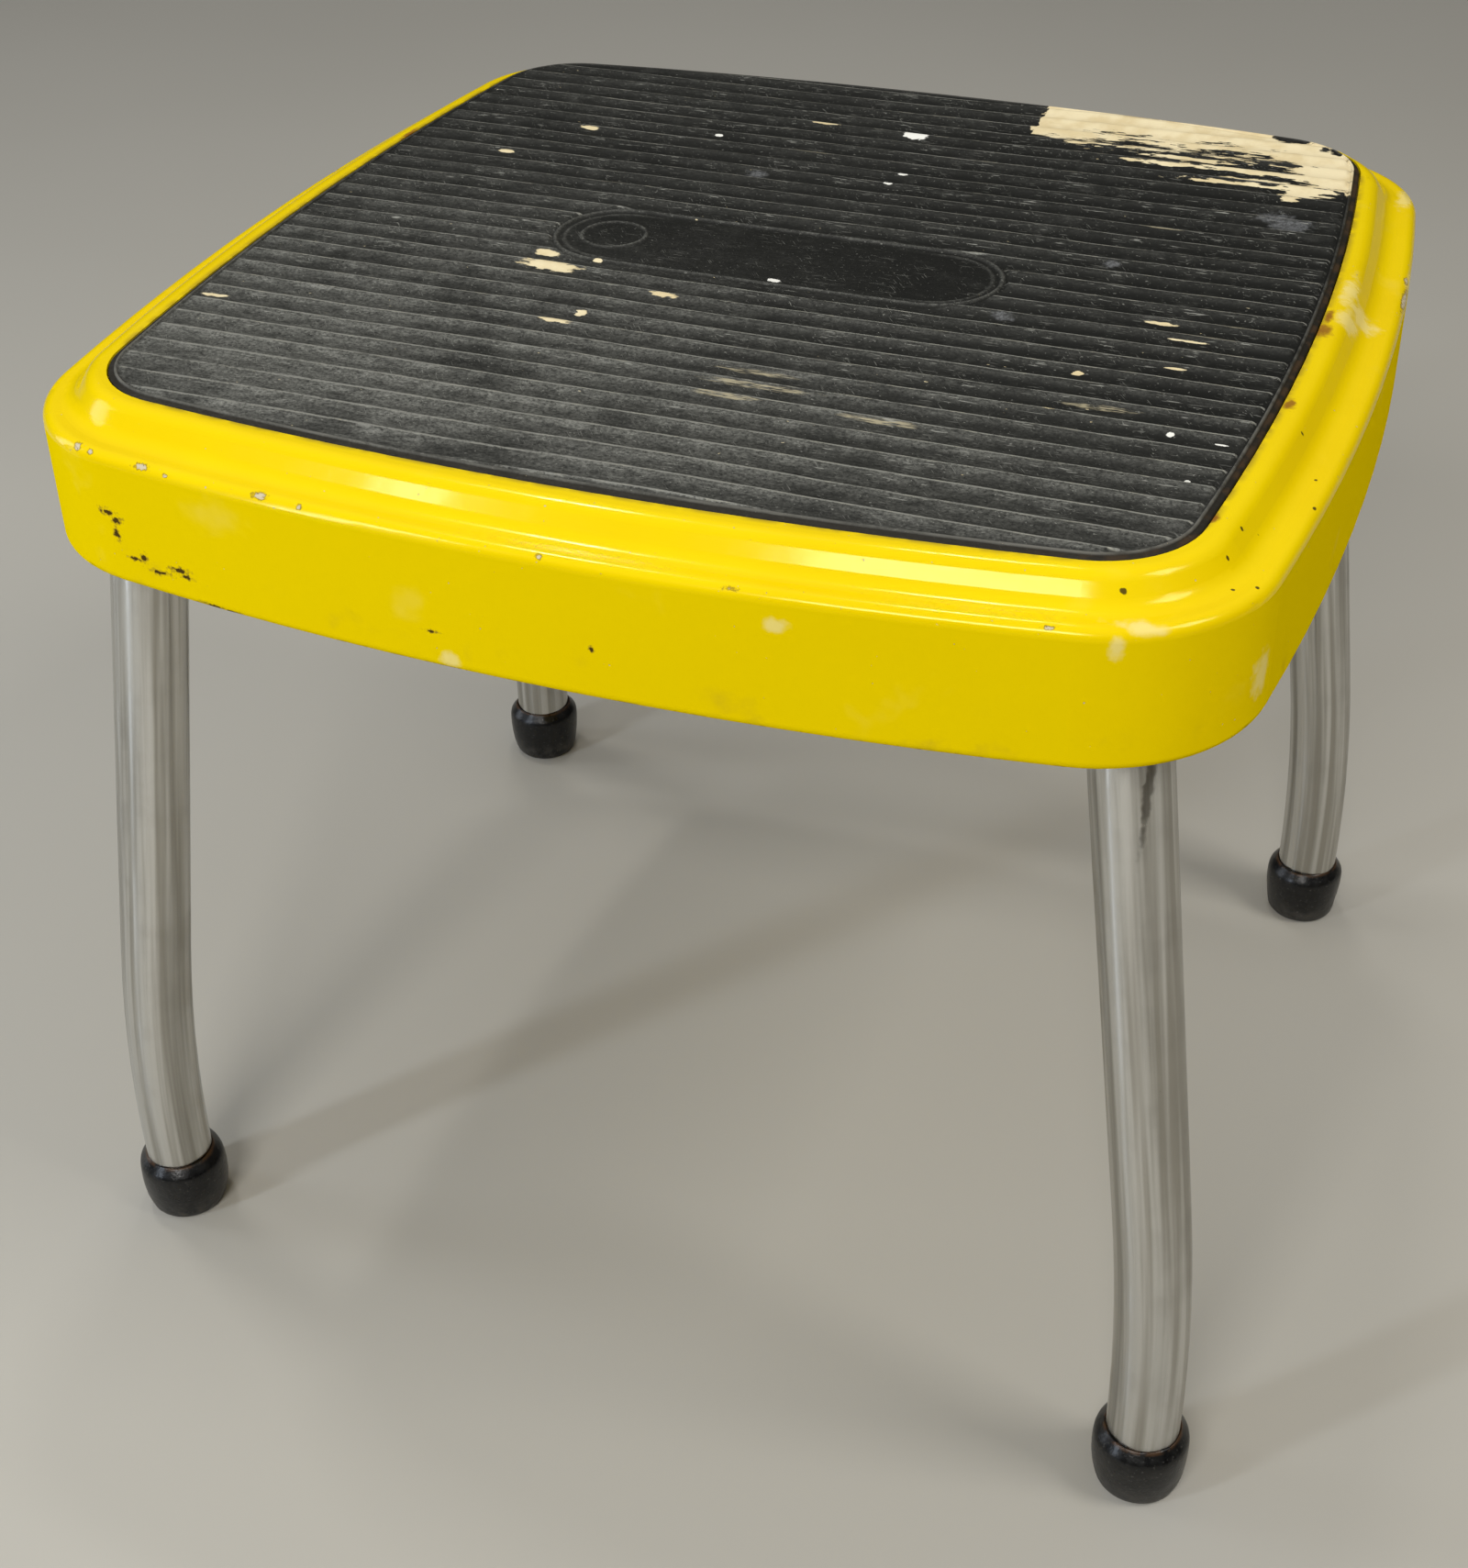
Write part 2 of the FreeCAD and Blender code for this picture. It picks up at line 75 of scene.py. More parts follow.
PANEL_LINE_INSET = 0.7 * MM     # raised line round the panel, in from its edge
PANEL_LINE_HEIGHT = 0.75 * MM
INNER_LINE_INSET = 3.4 * MM     # fainter line inside it, at the panel's ends only
INNER_LINE_HEIGHT = 0.3 * MM
BOSS_LINE_HEIGHT = 0.5 * MM
# Where feet have worn the ribs: x, y, reach along x, reach along y, share of the height gone
WORN_SPOTS = [(-0.115, -0.125, 0.075, 0.045, 0.55), (0.02, -0.135, 0.12, 0.028, 0.28)]
WORN_PATCHES = 0.14             # share gone in random patches

# The mat's margin in section, from the field's edge out to the wall: how far inside the outline,
# and how high above the border, in millimetres
MARGIN_SECTION = [
    (2.6, 0.05), (2.4, 0.4), (2.2, 0.58), (1.95, 0.6), (1.75, 0.35), (1.55, 0.0), (1.2, -0.18),
    (0.7, -0.2), (0.35, -0.3), (0.12, -0.52), (0.0, -0.9),
]
WALL_FOOT = 0.3 * MM            # bevel round the mat's underside

# Steps of the tread's grid, and the widths, in metres, of the strips where it is fine
FINE_STEP = 0.5 * MM            # across the panel's ends and boss
COARSE_STEP = 2.2 * MM          # along the ribs
EDGE_STEP = 0.6 * MM            # at the ribs' ends
ROW_STEP = RIB_PITCH / 10
EDGE_STRIP = 0.006
PANEL_MARGIN = 0.002            # outside the panel's ends
BOSS_STRIP = 0.012              # right of the boss's middle
PANEL_END_STRIP = 0.023         # inside the panel's right end
BAND_MARGIN = 0.0015            # in front of the panel and behind it

# Rubber tips. The tables are in millimetres: radius and height round the foot, then how far in
# from the full radius and how high on the wall and its sloping shoulder.
TIP_SEGMENTS = 96
TIP_FOOT = [
    (0.0, 0.9), (3.2, 0.9), (3.8, 0.1), (5.4, 0.1), (6.0, 0.9), (7.4, 0.9), (8.0, 0.0), (10.6, 0.0),
    (11.6, 0.4), (12.35, 1.4), (12.85, 3.2), (13.4, 6.0), (13.9, 10.0),
]
TIP_SHOULDER = [
    (0.0, 13.5), (0.0, 16.4), (0.12, 18.3), (0.35, 19.3), (0.8, 20.1), (1.5, 21.0), (2.2, 21.9),
    (2.75, 22.6),
]
TIP_WALL = 3.35 * MM
TIP_FLOOR = 5.2 * MM
TIP_SWELL = 0.25 * MM           # how far the wall is out of round
TIP_MOUTH_DIP = 0.3 * MM        # how far the upper edge is out of level

# Leg tubes: how far they lean in for each metre up, and where their long bend starts
LEG_LEAN = (0.1426, 0.0601)
BEND_START = 23.7 * MM
BEND_REACH = 42.3 * MM          # half of the bend's height

FLOOR_REACH = 6.0               # half of the floor's side

# Camera: place in metres, turn in radians, lens and sensor in millimetres
CAMERA_PLACE = (0.21269, -0.57389, 0.55432)
CAMERA_TURN = (0.94882, 0.01732, 0.36971)
CAMERA_LENS = 50.967
CAMERA_SENSOR = 36.0

# Colours, linear red, green and blue
YELLOW = (0.9, 0.665, 0.0004)
YELLOW_WORN = (0.87, 0.625, 0.0004)
# Yellow for the side faces, darkened as painted shade
YELLOW_SIDE_SHADED = (0.86, 0.635, 0.0003)
GRIME = (0.42, 0.27, 0.02)
HEM_RUST = (0.16, 0.1, 0.03)
PAINT_HAZE = (0.93, 0.82, 0.36)
MAT_EDGE_DIRT = (0.2, 0.13, 0.02)
SCUFF = (0.9, 0.78, 0.36)
RUST = (0.24, 0.07, 0.012)
SCRATCH_STAIN = (0.2, 0.115, 0.02)
PRIMER_DARK = (0.2, 0.13, 0.055)
PRIMER_PALE = (0.62, 0.54, 0.37)
BARE_DARK = (0.045, 0.024, 0.008)
RUBBER = (0.008, 0.0082, 0.0068)
# Pale end of the tread's grey: dust and wear, and painted light on rib faces and crests
RUBBER_DUST_AND_LIGHT = (0.24, 0.24, 0.213)
NICK = (0.4, 0.385, 0.31)
SMUDGE = (0.2, 0.205, 0.21)
WORN_PAINT = (0.48, 0.42, 0.27)
RUBBER_BORDER = (0.019, 0.016, 0.011)
RUBBER_LIP = (0.15, 0.145, 0.125)
BORDER_RUST = (0.08, 0.045, 0.02)
CREAM_AGED = (0.7, 0.575, 0.33)
CREAM = (0.8, 0.69, 0.44)
# Cream darkened as painted shade in the grooves
CREAM_GROOVE_SHADE = (0.2, 0.15, 0.08)
WHITE = (0.86, 0.85, 0.78)
# Dark end of the chrome's painted reflection bands
CHROME_DARK_REFLECTION = (0.4, 0.385, 0.345)
CHROME = (0.68, 0.675, 0.65)
CHROME_STREAK = (0.38, 0.365, 0.33)
CHROME_HAZE = (0.36, 0.34, 0.29)
CHROME_PIT = (0.08, 0.06, 0.045)
CHROME_STAIN = (0.1, 0.085, 0.06)
TIP_BLACK = (0.0022, 0.0022, 0.0023)
TIP_GREY = (0.008, 0.0078, 0.0075)
TIP_DUST = (0.12, 0.11, 0.095)
TIP_SPECK = (0.12, 0.118, 0.108)
TIP_RUST = (0.11, 0.055, 0.022)
ZINC_DARK = (0.4, 0.39, 0.36)
ZINC = (0.56, 0.55, 0.52)
ZINC_RUST = (0.19, 0.075, 0.025)
FLOOR_DARK = (0.47, 0.45, 0.395)
FLOOR_PALE = (0.52, 0.5, 0.445)
RUBBER_SCRATCH = (0.3, 0.3, 0.265)
SHINE_TINT = (1.0, 0.93, 0.55, 1.0)


# ---- Smooth noise for shapes ----

def ripple(x, y, size, seed, waves=9):
    """Smooth repeatable noise of about -1 to 1, with features of about the given size."""
    draw = np.random.default_rng(seed)
    total = np.zeros(np.broadcast(x, y).shape)
    for _ in range(waves):
        heading = draw.uniform(0, 2 * math.pi)
        phase = draw.uniform(0, 2 * math.pi)
        stretch = draw.uniform(0.6, 1.6)
        run = (x * math.cos(heading) + y * math.sin(heading)) / (size * stretch)
        total = total + np.sin(math.pi * run + phase)
    return total / math.sqrt(waves)


def smoothstep(value, low, high):
    share = np.clip((value - low) / (high - low), 0, 1)
    return share * share * (3 - 2 * share)


def ridge(distance, half_width):
    """Rounded ridge of height 1 along distance = 0."""
    share = np.clip(1 - (distance / half_width) ** 2, 0, 1)
    return share ** 1.5


# ---- Meshes ----

def mesh_piece(name, vertices, faces, material, attributes=()):
    """A smooth-shaded piece of the object, riding on its one body."""
    mesh = bpy.data.meshes.new(name)
    mesh.from_pydata([tuple(v) for v in vertices], [], faces)
    for key, values in attributes:
        layer = mesh.attributes.new(key, "FLOAT", "POINT")
        layer.data.foreach_set("value", np.asarray(values, np.float32))
    mesh.materials.append(material)
    mesh.polygons.foreach_set("use_smooth", [True] * len(mesh.polygons))
    mesh.update()
    piece = bpy.data.objects.new(name, mesh)
    bpy.context.scene.collection.objects.link(piece)
    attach(piece, "root")
    return piece


def add_quads(faces, index):
    """Quads of a block of vertex numbers. A cell with a shared corner becomes a triangle."""
    for below, above in zip(index, index[1:]):
        for a, b, c, d in zip(below, below[1:], above[1:], above):
            corners = []
            for corner in (int(a), int(b), int(c), int(d)):
                if corner not in corners:
                    corners.append(corner)
            if len(corners) > 2:
                faces.append(corners)


def add_ring(faces, inner, outer):
    """Quads between two closed loops of the same length."""
    size = len(inner)
    for step in range(size):
        after = (step + 1) % size
        faces.append([int(inner[step]), int(outer[step]), int(outer[after]), int(inner[after])])


class Outline:
    """Rounded outline with four bowed sides. An inset keeps the centres and shortens the radii."""

    def __init__(self, half_x, half_y, middle_y, bow_front, bow_side, corner):
        self.middle_y = middle_y
        self.bow_front = bow_front
        self.bow_side = bow_side
        self.corner = corner
        self.front_y = bow_front - half_y
        self.side_x = half_x - bow_side
        gap = math.hypot(self.side_x, self.front_y)
        front_reach = bow_front - corner
        side_reach = bow_side - corner
        along = (front_reach ** 2 - side_reach ** 2 + gap ** 2) / (2 * gap)
        across = math.sqrt(front_reach ** 2 - along ** 2)
        to_x = self.side_x / gap
        to_y = -self.front_y / gap
        self.corner_x = to_x * along - to_y * across
        self.corner_y = -(self.front_y + to_y * along + to_x * across)
        self.side_end = math.atan2(self.corner_y, self.corner_x - self.side_x)
        self.front_end = math.atan2(self.corner_y + self.front_y, self.corner_x)

    def reach_x(self, y, inset):
        """Half width of the inset outline at a depth y."""
        y = np.abs(y - self.middle_y)
        side = self.side_x + np.sqrt((self.bow_side - inset) ** 2 - y ** 2)
        rise = np.clip(y - self.corner_y, 0, self.corner - inset)
        corner = self.corner_x + np.sqrt((self.corner - inset) ** 2 - rise ** 2)
        on_side = y <= (self.bow_side - inset) * math.sin(self.side_end)
        return np.where(on_side, side, corner)

    def reach_y(self, x, inset):
        """Half depth of the inset outline at a width x, from its middle."""
        x = np.abs(x)
        front = np.sqrt((self.bow_front - inset) ** 2 - x ** 2) - self.front_y
        run = np.clip(x - self.corner_x, 0, self.corner - inset)
        corner = self.corner_y + np.sqrt((self.corner - inset) ** 2 - run ** 2)
        on_front = x <= (self.bow_front - inset) * math.cos(self.front_end)
        return np.where(on_front, front, corner)

    def outward(self, x, y):
        """Unit direction out of the outline at points on it."""
        y = y - self.middle_y
        side_angle = np.arctan2(np.abs(y), np.abs(x) - self.side_x)
        front_angle = np.arctan2(np.abs(y) + self.front_y, np.abs(x))
        angle = np.arctan2(np.abs(y) - self.corner_y, np.abs(x) - self.corner_x)
        angle = np.where(side_angle <= self.side_end, side_angle, angle)
        angle = np.where(front_angle >= self.front_end, front_angle, angle)
        return np.sign(x) * np.cos(angle), np.sign(y) * np.sin(angle)

    def inset_of(self, x, y):
        """How far inside the outline points lie."""
        y = y - self.middle_y
        side = self.bow_side - np.hypot(np.abs(x) - self.side_x, y)
        front = self.bow_front - np.hypot(x, np.abs(y) + self.front_y)
        corner = self.corner - np.hypot(np.abs(x) - self.corner_x, np.abs(y) - self.corner_y)
        in_corner = (np.abs(x) > self.corner_x) & (np.abs(y) > self.corner_y)
        return np.where(in_corner, corner, np.minimum(side, front))


# ---- Tread mat ----

def mat_outline():
    low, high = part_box("tread_mat")
    half_y = (high.y - low.y) / 2
    return Outline(high.x, half_y, low.y + half_y, MAT_BOW_FRONT, MAT_BOW_SIDE, MAT_CORNER)


def graded(stops, steps):
    """Positions from stop to stop, spaced by about the step given for each stretch."""
    positions = [stops[0]]
    for start, end, step in zip(stops, stops[1:], steps):
        count = max(1, round((end - start) / step))
        positions.extend(np.linspace(start, end, count + 1)[1:])
    return np.array(positions)


def pill_distance(x, y):
    """Distance outside the blank panel's edge, negative inside."""
    run = np.maximum(np.abs(x - PANEL[0]) - (PANEL_HALF_LENGTH - PANEL_RADIUS), 0)
    return np.hypot(run, y - PANEL[1]) - PANEL_RADIUS


def tread_wear(x, y):
    """Share of the rib height that is left: least at the front left and front middle."""
    left_over = 1.0
    for spot_x, spot_y, reach_x, reach_y, loss in WORN_SPOTS:
        spot = np.exp(-(((x - spot_x) / reach_x) ** 2 + ((y - spot_y) / reach_y) ** 2))
        left_over = left_over - loss * spot
    patches = 0.5 + 0.5 * ripple(x, y * 2, 0.035, 5)
    return left_over - WORN_PATCHES * patches


def dish(x, y):
    """The mat lies a little unevenly on the pan."""
    return MAT_UNEVEN * ripple(x, y, 0.09, 2)


def rib_phase(x, y):
    """Ribs counted back from the one through the panel. They bow a little round the panel."""
    off_x = x - PANEL[0]
    off_y = y - PANEL[1]
    detour = RIB_DETOUR * np.exp(-(off_y / 0.03) ** 2) * np.exp(-(off_x / 0.06) ** 2)
    shifted = y + RIB_WAVER * ripple(x, y, 0.045, 3) + RIB_TREMBLE * ripple(x, y, 0.012, 4)
    return (shifted - detour * np.sign(off_y)) / RIB_PITCH


def tread_height(x, y, outline):
    """Height above the border, the share of full rib height, and the raised lines of the panel."""
    phase = rib_phase(x, y)
    leaning = phase - RIB_LEAN * np.cos(2 * math.pi * phase)
    crest = (0.5 + 0.5 * np.cos(2 * math.pi * leaning)) ** RIB_SHARPNESS
    gap = pill_distance(x, y)
    inset = outline.inset_of(x, y)
    relief = smoothstep(inset, FIELD_INSET, FIELD_INSET + 1.0 * MM)
    relief = relief * smoothstep(gap, 0.1 * MM, 1.6 * MM)
    relief = relief * tread_wear(x, y)
    height = RIB_HEIGHT * crest * relief
    height = height + PANEL_LINE_HEIGHT * ridge(gap + PANEL_LINE_INSET, 0.95 * MM)
    inner_line = ridge(gap + INNER_LINE_INSET, 0.7 * MM)
    inner_line = inner_line * smoothstep(np.abs(x - PANEL[0]), 0.035, 0.05)
    height = height + INNER_LINE_HEIGHT * inner_line
    ring = np.hypot(x - BOSS[0], y - BOSS[1]) - BOSS_RADIUS
    height = height + BOSS_LINE_HEIGHT * ridge(ring, 0.85 * MM)
    lines = np.maximum(ridge(gap + PANEL_LINE_INSET, 0.8 * MM), 0.9 * ridge(ring, 0.7 * MM))
    return height, relief, np.maximum(lines, 0.6 * inner_line)


def tread_mat(material):
    """The moulded rubber mat: a ribbed field of rows, then rings for its lip, border and wall."""
    low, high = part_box("tread_mat")
    outline = mat_outline()
    middle = outline.middle_y
    border_z = high.z - BORDER_DROP
    half = float(outline.reach_x(middle, FIELD_INSET))
    left_end = PANEL[0] - PANEL_HALF_LENGTH
    right_end = PANEL[0] + PANEL_HALF_LENGTH
    stops = [
        -half, EDGE_STRIP - half, left_end - PANEL_MARGIN, BOSS[0] + BOSS_STRIP,
        right_end - PANEL_END_STRIP, right_end + PANEL_MARGIN, half - EDGE_STRIP, half,
    ]
    steps = [EDGE_STEP, COARSE_STEP, FINE_STEP, COARSE_STEP, FINE_STEP, COARSE_STEP, EDGE_STEP]
    across = graded(stops, steps) / half
    cap_y = outline.corner_y + CAP_SHARE * (outline.corner - FIELD_INSET)
    band = PANEL_RADIUS + BAND_MARGIN
    rows = graded([middle - cap_y, -band, band, middle + cap_y], [ROW_STEP, FINE_STEP, ROW_STEP])

    columns = len(across)
    grid_x = outline.reach_x(rows, FIELD_INSET)[:, None] * across[None, :]
    grid_y = np.repeat(rows[:, None], columns, axis=1)
    xs = [grid_x.ravel()]
    ys = [grid_y.ravel()]
    index = np.arange(grid_x.size).reshape(grid_x.shape)
    faces = []
    add_quads(faces, index)

    count = grid_x.size
    caps = {}
    for side in (1, -1):
        edge_row = index[-1] if side > 0 else index[0]
        cap_x = grid_x[-1][1:-1]
        outer_y = outline.reach_y(cap_x, FIELD_INSET)
        block = [edge_row]
        for step in range(1, CAP_ROWS + 1):
            share = step / CAP_ROWS
            xs.append(cap_x)
            ys.append(middle + side * (cap_y + (outer_y - cap_y) * share))
            inner = np.arange(count, count + len(cap_x))
            count += len(cap_x)
            block.append(np.concatenate([[edge_row[0]], inner, [edge_row[-1]]]))
        add_quads(faces, np.array(block) if side > 0 else np.array(block[::-1]))
        caps[side] = block[-1]

    x = np.concatenate(xs)
    y = np.concatenate(ys)
    height, relief, lines = tread_height(x, y, outline)
    z = border_z + height + dish(x, y)
    loop = np.concatenate([index[:, -1], caps[1][1:-1][::-1], index[::-1, 0], caps[-1][1:-1]])
    out_x, out_y = outline.outward(x[loop], y[loop])
    points_x, points_y, points_z, insets = [x], [y], [z], [outline.inset_of(x, y)]
    previous = loop

    def grow(move, inset, level, uneven):
        """Adds a ring round the last one, moved out from the field's edge."""
        nonlocal previous, count
        ring_x = x[loop] + out_x * move
        ring_y = y[loop] + out_y * move
        points_x.append(ring_x)
        points_y.append(ring_y)
        points_z.append(level + dish(ring_x, ring_y) * uneven)
        insets.append(np.full(len(loop), inset))
        ring = np.arange(count, count + len(loop))
        count += len(loop)
        add_ring(faces, previous, ring)
        previous = ring

    for inset, lift in MARGIN_SECTION:
        level = border_z + lift * MM
        grow(FIELD_INSET - inset * MM, inset * MM, level, min(1.0, inset / 2))
    grow(FIELD_INSET, 0.0, low.z + WALL_FOOT, 0.0)
    grow(FIELD_INSET - WALL_FOOT, 0.0, low.z, 0.0)
    faces.append([int(i) for i in previous[::-1]])
    vertices = np.stack([np.concatenate(points) for points in (points_x, points_y, points_z)], 1)
    rest = np.zeros(len(vertices) - len(x))
    attributes = [
        ("phase", rib_phase(vertices[:, 0], vertices[:, 1])),
        ("relief", np.concatenate([relief, rest])),
        ("lines", np.concatenate([lines, rest])),
        ("inset", np.concatenate(insets) / MM),
    ]
    mat = mesh_piece("ribbed_tread", vertices, faces, material, attributes)
    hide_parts("tread_mat")


# ---- Rubber tips ----

def tip_profile(radius, height):
    """Radius and height from the middle of the underside, round the outside, to the inner floor."""
    bore = radius - TIP_WALL
    mouth = height - 0.1 * MM
    foot = [(reach * MM, level * MM) for reach, level in TIP_FOOT]
    shoulder = [(radius - inward * MM, level * MM) for inward, level in TIP_SHOULDER]
    top = [(radius - 3.0 * MM, mouth), (bore + 0.15 * MM, mouth), (bore, height - 0.5 * MM)]
    return foot + shoulder + top + [(bore, TIP_FLOOR), (0.0, TIP_FLOOR)]


def rubber_tip(name, material, seed):
    """One slip-on tip, turned from its profile and a little out of round."""
    low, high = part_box(name)
    centre = (low + high) / 2
    radius = (high.x - low.x) / 2
    profile = tip_profile(radius, high.z)
    bore = profile[-2][0] + 0.1 * MM
    angles = np.arange(TIP_SEGMENTS) * 2 * math.pi / TIP_SEGMENTS
    vertices = [(centre.x, centre.y, profile[0][1])]
    faces = []
    previous = None
    for reach, level in profile[1:-1]:
        on_wall = smoothstep(level, 1.0 * MM, 6.0 * MM) if reach > bore else 0.0
        sag = TIP_SWELL * ripple(np.cos(angles), np.sin(angles) + level * 40, 0.9, seed) * on_wall
        mouth = TIP_MOUTH_DIP * ripple(np.cos(angles), np.sin(angles), 0.8, seed + 50)
        lift = mouth * smoothstep(level, 0.018, high.z) if reach > bore else 0.0 * mouth
        start = len(vertices)
        for angle, swell, rise in zip(angles, sag, lift):
            x = centre.x + (reach + swell) * math.cos(angle)
            y = centre.y + (reach + swell) * math.sin(angle)
            vertices.append((x, y, level + min(0.0, rise)))
        ring = np.arange(start, start + TIP_SEGMENTS)
        if previous is None:
            for step in range(TIP_SEGMENTS):
                faces.append([0, int(ring[(step + 1) % TIP_SEGMENTS]), int(ring[step])])
        else:
            add_ring(faces, ring, previous)
        previous = ring
    vertices.append((centre.x, centre.y, profile[-1][1]))
    last = len(vertices) - 1
    for step in range(TIP_SEGMENTS):
        faces.append([last, int(previous[step]), int(previous[(step + 1) % TIP_SEGMENTS])])
    tip = mesh_piece("rubber_" + name, vertices, faces, material)
    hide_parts(name)


# ---- Materials ----

class Finish:
    """A material under construction. Its methods add nodes and return their output sockets."""

    def __init__(self, name):
        self.material = bpy.data.materials.new(name)
        self.material.use_nodes = True
        self.tree = self.material.node_tree
        self.tree.nodes.clear()
        place = self.add("ShaderNodeTexCoord")
        self.place = place.outputs["Object"]
        self.normal = place.outputs["Normal"]
        self.surface = self.add("ShaderNodeBsdfPrincipled")
        output = self.add("ShaderNodeOutputMaterial")
        self.tree.links.new(self.surface.outputs["BSDF"], output.inputs["Surface"])
        self.height = None

    def add(self, kind, **settings):
        node = self.tree.nodes.new(kind)
        for key, value in settings.items():
            setattr(node, key, value)
        return node

    def feed(self, socket, value):
        if isinstance(value, bpy.types.NodeSocket):
            self.tree.links.new(value, socket)
        else:
            socket.default_value = value

    def set(self, **values):
        for key, value in values.items():
            self.feed(self.surface.inputs[key.replace("_", " ")], value)

    def maths(self, operation, *values):
        node = self.add("ShaderNodeMath", operation=operation)
        for socket, value in zip(node.inputs, values):
            self.feed(socket, value)
        return node.outputs[0]

    def plus(self, *values):
        total = values[0]
        for value in values[1:]:
            total = self.maths("ADD", total, value)
        return total

    def times(self, *values):
        total = values[0]
        for value in values[1:]:
            total = self.maths("MULTIPLY", total, value)
        return total

    def largest(self, *values):
        total = values[0]
        for value in values[1:]:
            total = self.maths("MAXIMUM", total, value)
        return total

    def vector(self, operation, *values):
        node = self.add("ShaderNodeVectorMath", operation=operation)
        for socket, value in zip(node.inputs, values):
            self.feed(socket, value)
        scalar = operation in ("LENGTH", "DISTANCE", "DOT_PRODUCT")
        return node.outputs["Value" if scalar else "Vector"]

    def parts(self, vector):
        node = self.add("ShaderNodeSeparateXYZ")
        self.feed(node.inputs[0], vector)
        return node.outputs

    def joined(self, x, y, z):
        node = self.add("ShaderNodeCombineXYZ")
        for socket, value in zip(node.inputs, (x, y, z)):
            self.feed(socket, value)
        return node.outputs[0]

    def attribute(self, name):
        return self.add("ShaderNodeAttribute", attribute_name=name).outputs["Fac"]

    def step(self, value, low, high):
        """Smooth step from 0 at low to 1 at high. Low may be the larger one."""
        node = self.add("ShaderNodeMapRange", interpolation_type="SMOOTHSTEP")
        self.feed(node.inputs["Value"], value)
        node.inputs["From Min"].default_value = low
        node.inputs["From Max"].default_value = high
        return node.outputs[0]

    def noise(self, size, detail=2.0, stretch=(1, 1, 1), place=None, seed=0.0, rough=0.5):
        """Noise of 0 to 1 with features of about the given size in metres, stretched along axes."""
        node = self.add("ShaderNodeTexNoise")
        scaled = [1 / (size * along) for along in stretch]
        moved = self.vector("MULTIPLY", place or self.place, scaled)
        moved = self.vector("ADD", moved, (seed * 7.31, seed * 3.17, seed * 5.73))
        self.feed(node.inputs["Vector"], moved)
        node.inputs["Scale"].default_value = 1.0
        node.inputs["Detail"].default_value = detail
        node.inputs["Roughness"].default_value = rough
        return node.outputs[0]

    def blend(self, share, first, second):
        """Colour first where share is 0, second where it is 1."""
        node = self.add("ShaderNodeMix", data_type="RGBA")
        self.feed(node.inputs[0], share)
        for socket, colour in ((node.inputs[6], first), (node.inputs[7], second)):
            if not isinstance(colour, bpy.types.NodeSocket):
                colour = (*colour, 1.0)
            self.feed(socket, colour)
        return node.outputs[2]

    def marks(self, places, ragged, grain, soft, seed, size=1.0, stretch=(1, 1, 1)):
        """Mask of ragged ellipsoidal marks, each (x, y, z, reach x, reach y, reach z) in mm."""
        nearest = None
        for place in places:
            centre = [value * MM for value in place[:3]]
            scale = [1 / (value * size * MM) for value in place[3:]]
            offset = self.vector("MULTIPLY", self.vector("SUBTRACT", self.place, centre), scale)
            distance = self.vector("LENGTH", offset)
            nearest = distance if nearest is None else self.maths("MINIMUM", nearest, distance)
        wobble = self.times(self.plus(self.noise(grain, 3.0, stretch, seed=seed), -0.5), 2 * ragged)
        return self.step(self.plus(nearest, wobble), 1.0 + soft / 2, 1.0 - soft / 2)

    def bump(self, height, distance):
        """Adds relief. Height is 0 to 1 and distance is its depth in metres."""
        scaled = self.times(height, distance)
        self.height = scaled if self.height is None else self.plus(self.height, scaled)

    def finished(self):
        if self.height is not None:
            node = self.add("ShaderNodeBump")
            node.inputs["Distance"].default_value = 1.0
            self.feed(node.inputs["Height"], self.height)
            self.set(Normal=node.outputs[0])
        return self.material


# Chips, scuffs and stains on the paint: x, y, z, then reach along x, y, z
FOLD_CHIPS = [
    (-136, -156, 294.6, 1.6, 2.0, 1.1), (-131, -157, 294.4, 1.0, 1.4, 0.7),
    (-114, -160, 294.4, 2.6, 2.0, 0.8), (-106, -161, 294.0, 0.9, 1.0, 0.5),
    (-77, -164, 294.8, 2.6, 1.7, 0.9), (-65, -165, 294.4, 0.9, 1.2, 0.7),
    (1, -168, 294.6, 1.2, 1.4, 0.8), (49, -167, 294.6, 2.6, 1.3, 0.7),
    (122, -159, 294.6, 2.0, 1.2, 0.5), (172, 50, 294.0, 1.4, 9.0, 1.6),
    (171, 62, 294.6, 1.3, 3.0, 1.0), (-171, 40, 294.6, 1.5, 2.6, 1.0),
]
SMALL_DOTS = [
    (135, -145, 299, 1.5, 1.0, 1.5), (155, -111, 301, 0.9, 1.0, 1.5),
    (158, -106, 296, 0.7, 0.8, 2.0), (154, -123, 299, 0.8, 0.8, 2.0),
    (157, -130, 295, 0.9, 0.7, 2.0), (162, -127, 295, 0.8, 0.8, 2.0),
    (168, -85, 295, 0.7, 1.1, 2.0), (160, -57, 301, 1.0, 1.1, 2.0), (160, -64, 301, 0.8, 0.7, 2.0),
    (166, -71, 295, 0.7, 0.8, 2.0), (141, -152, 288, 0.8, 2.0, 0.8),
]
APRON_SCRATCHES = [
    (-128, -159, 278.5, 2.2, 3.0, 0.8), (-125.5, -159, 277, 1.6, 3.0, 1.0),
    (-126, -159, 272.5, 0.9, 3.0, 1.5), (-121, -160, 266.5, 2.0, 3.0, 0.5),
    (-118, -160, 267.5, 1.0, 3.0, 1.2), (-113, -161, 264.5, 3.0, 3.0, 0.6),
    (-106, -162, 267, 2.2, 3.0, 0.8), (-104, -162, 265.5, 1.6, 3.0, 0.7),
    (-97, -163, 258.7, 3.5, 3.0, 0.6), (-91, -164, 258.3, 2.5, 3.0, 0.5),
    (-30, -168, 268, 1.4, 3.0, 0.4), (14, -168, 272, 0.7, 3.0, 0.7),
]
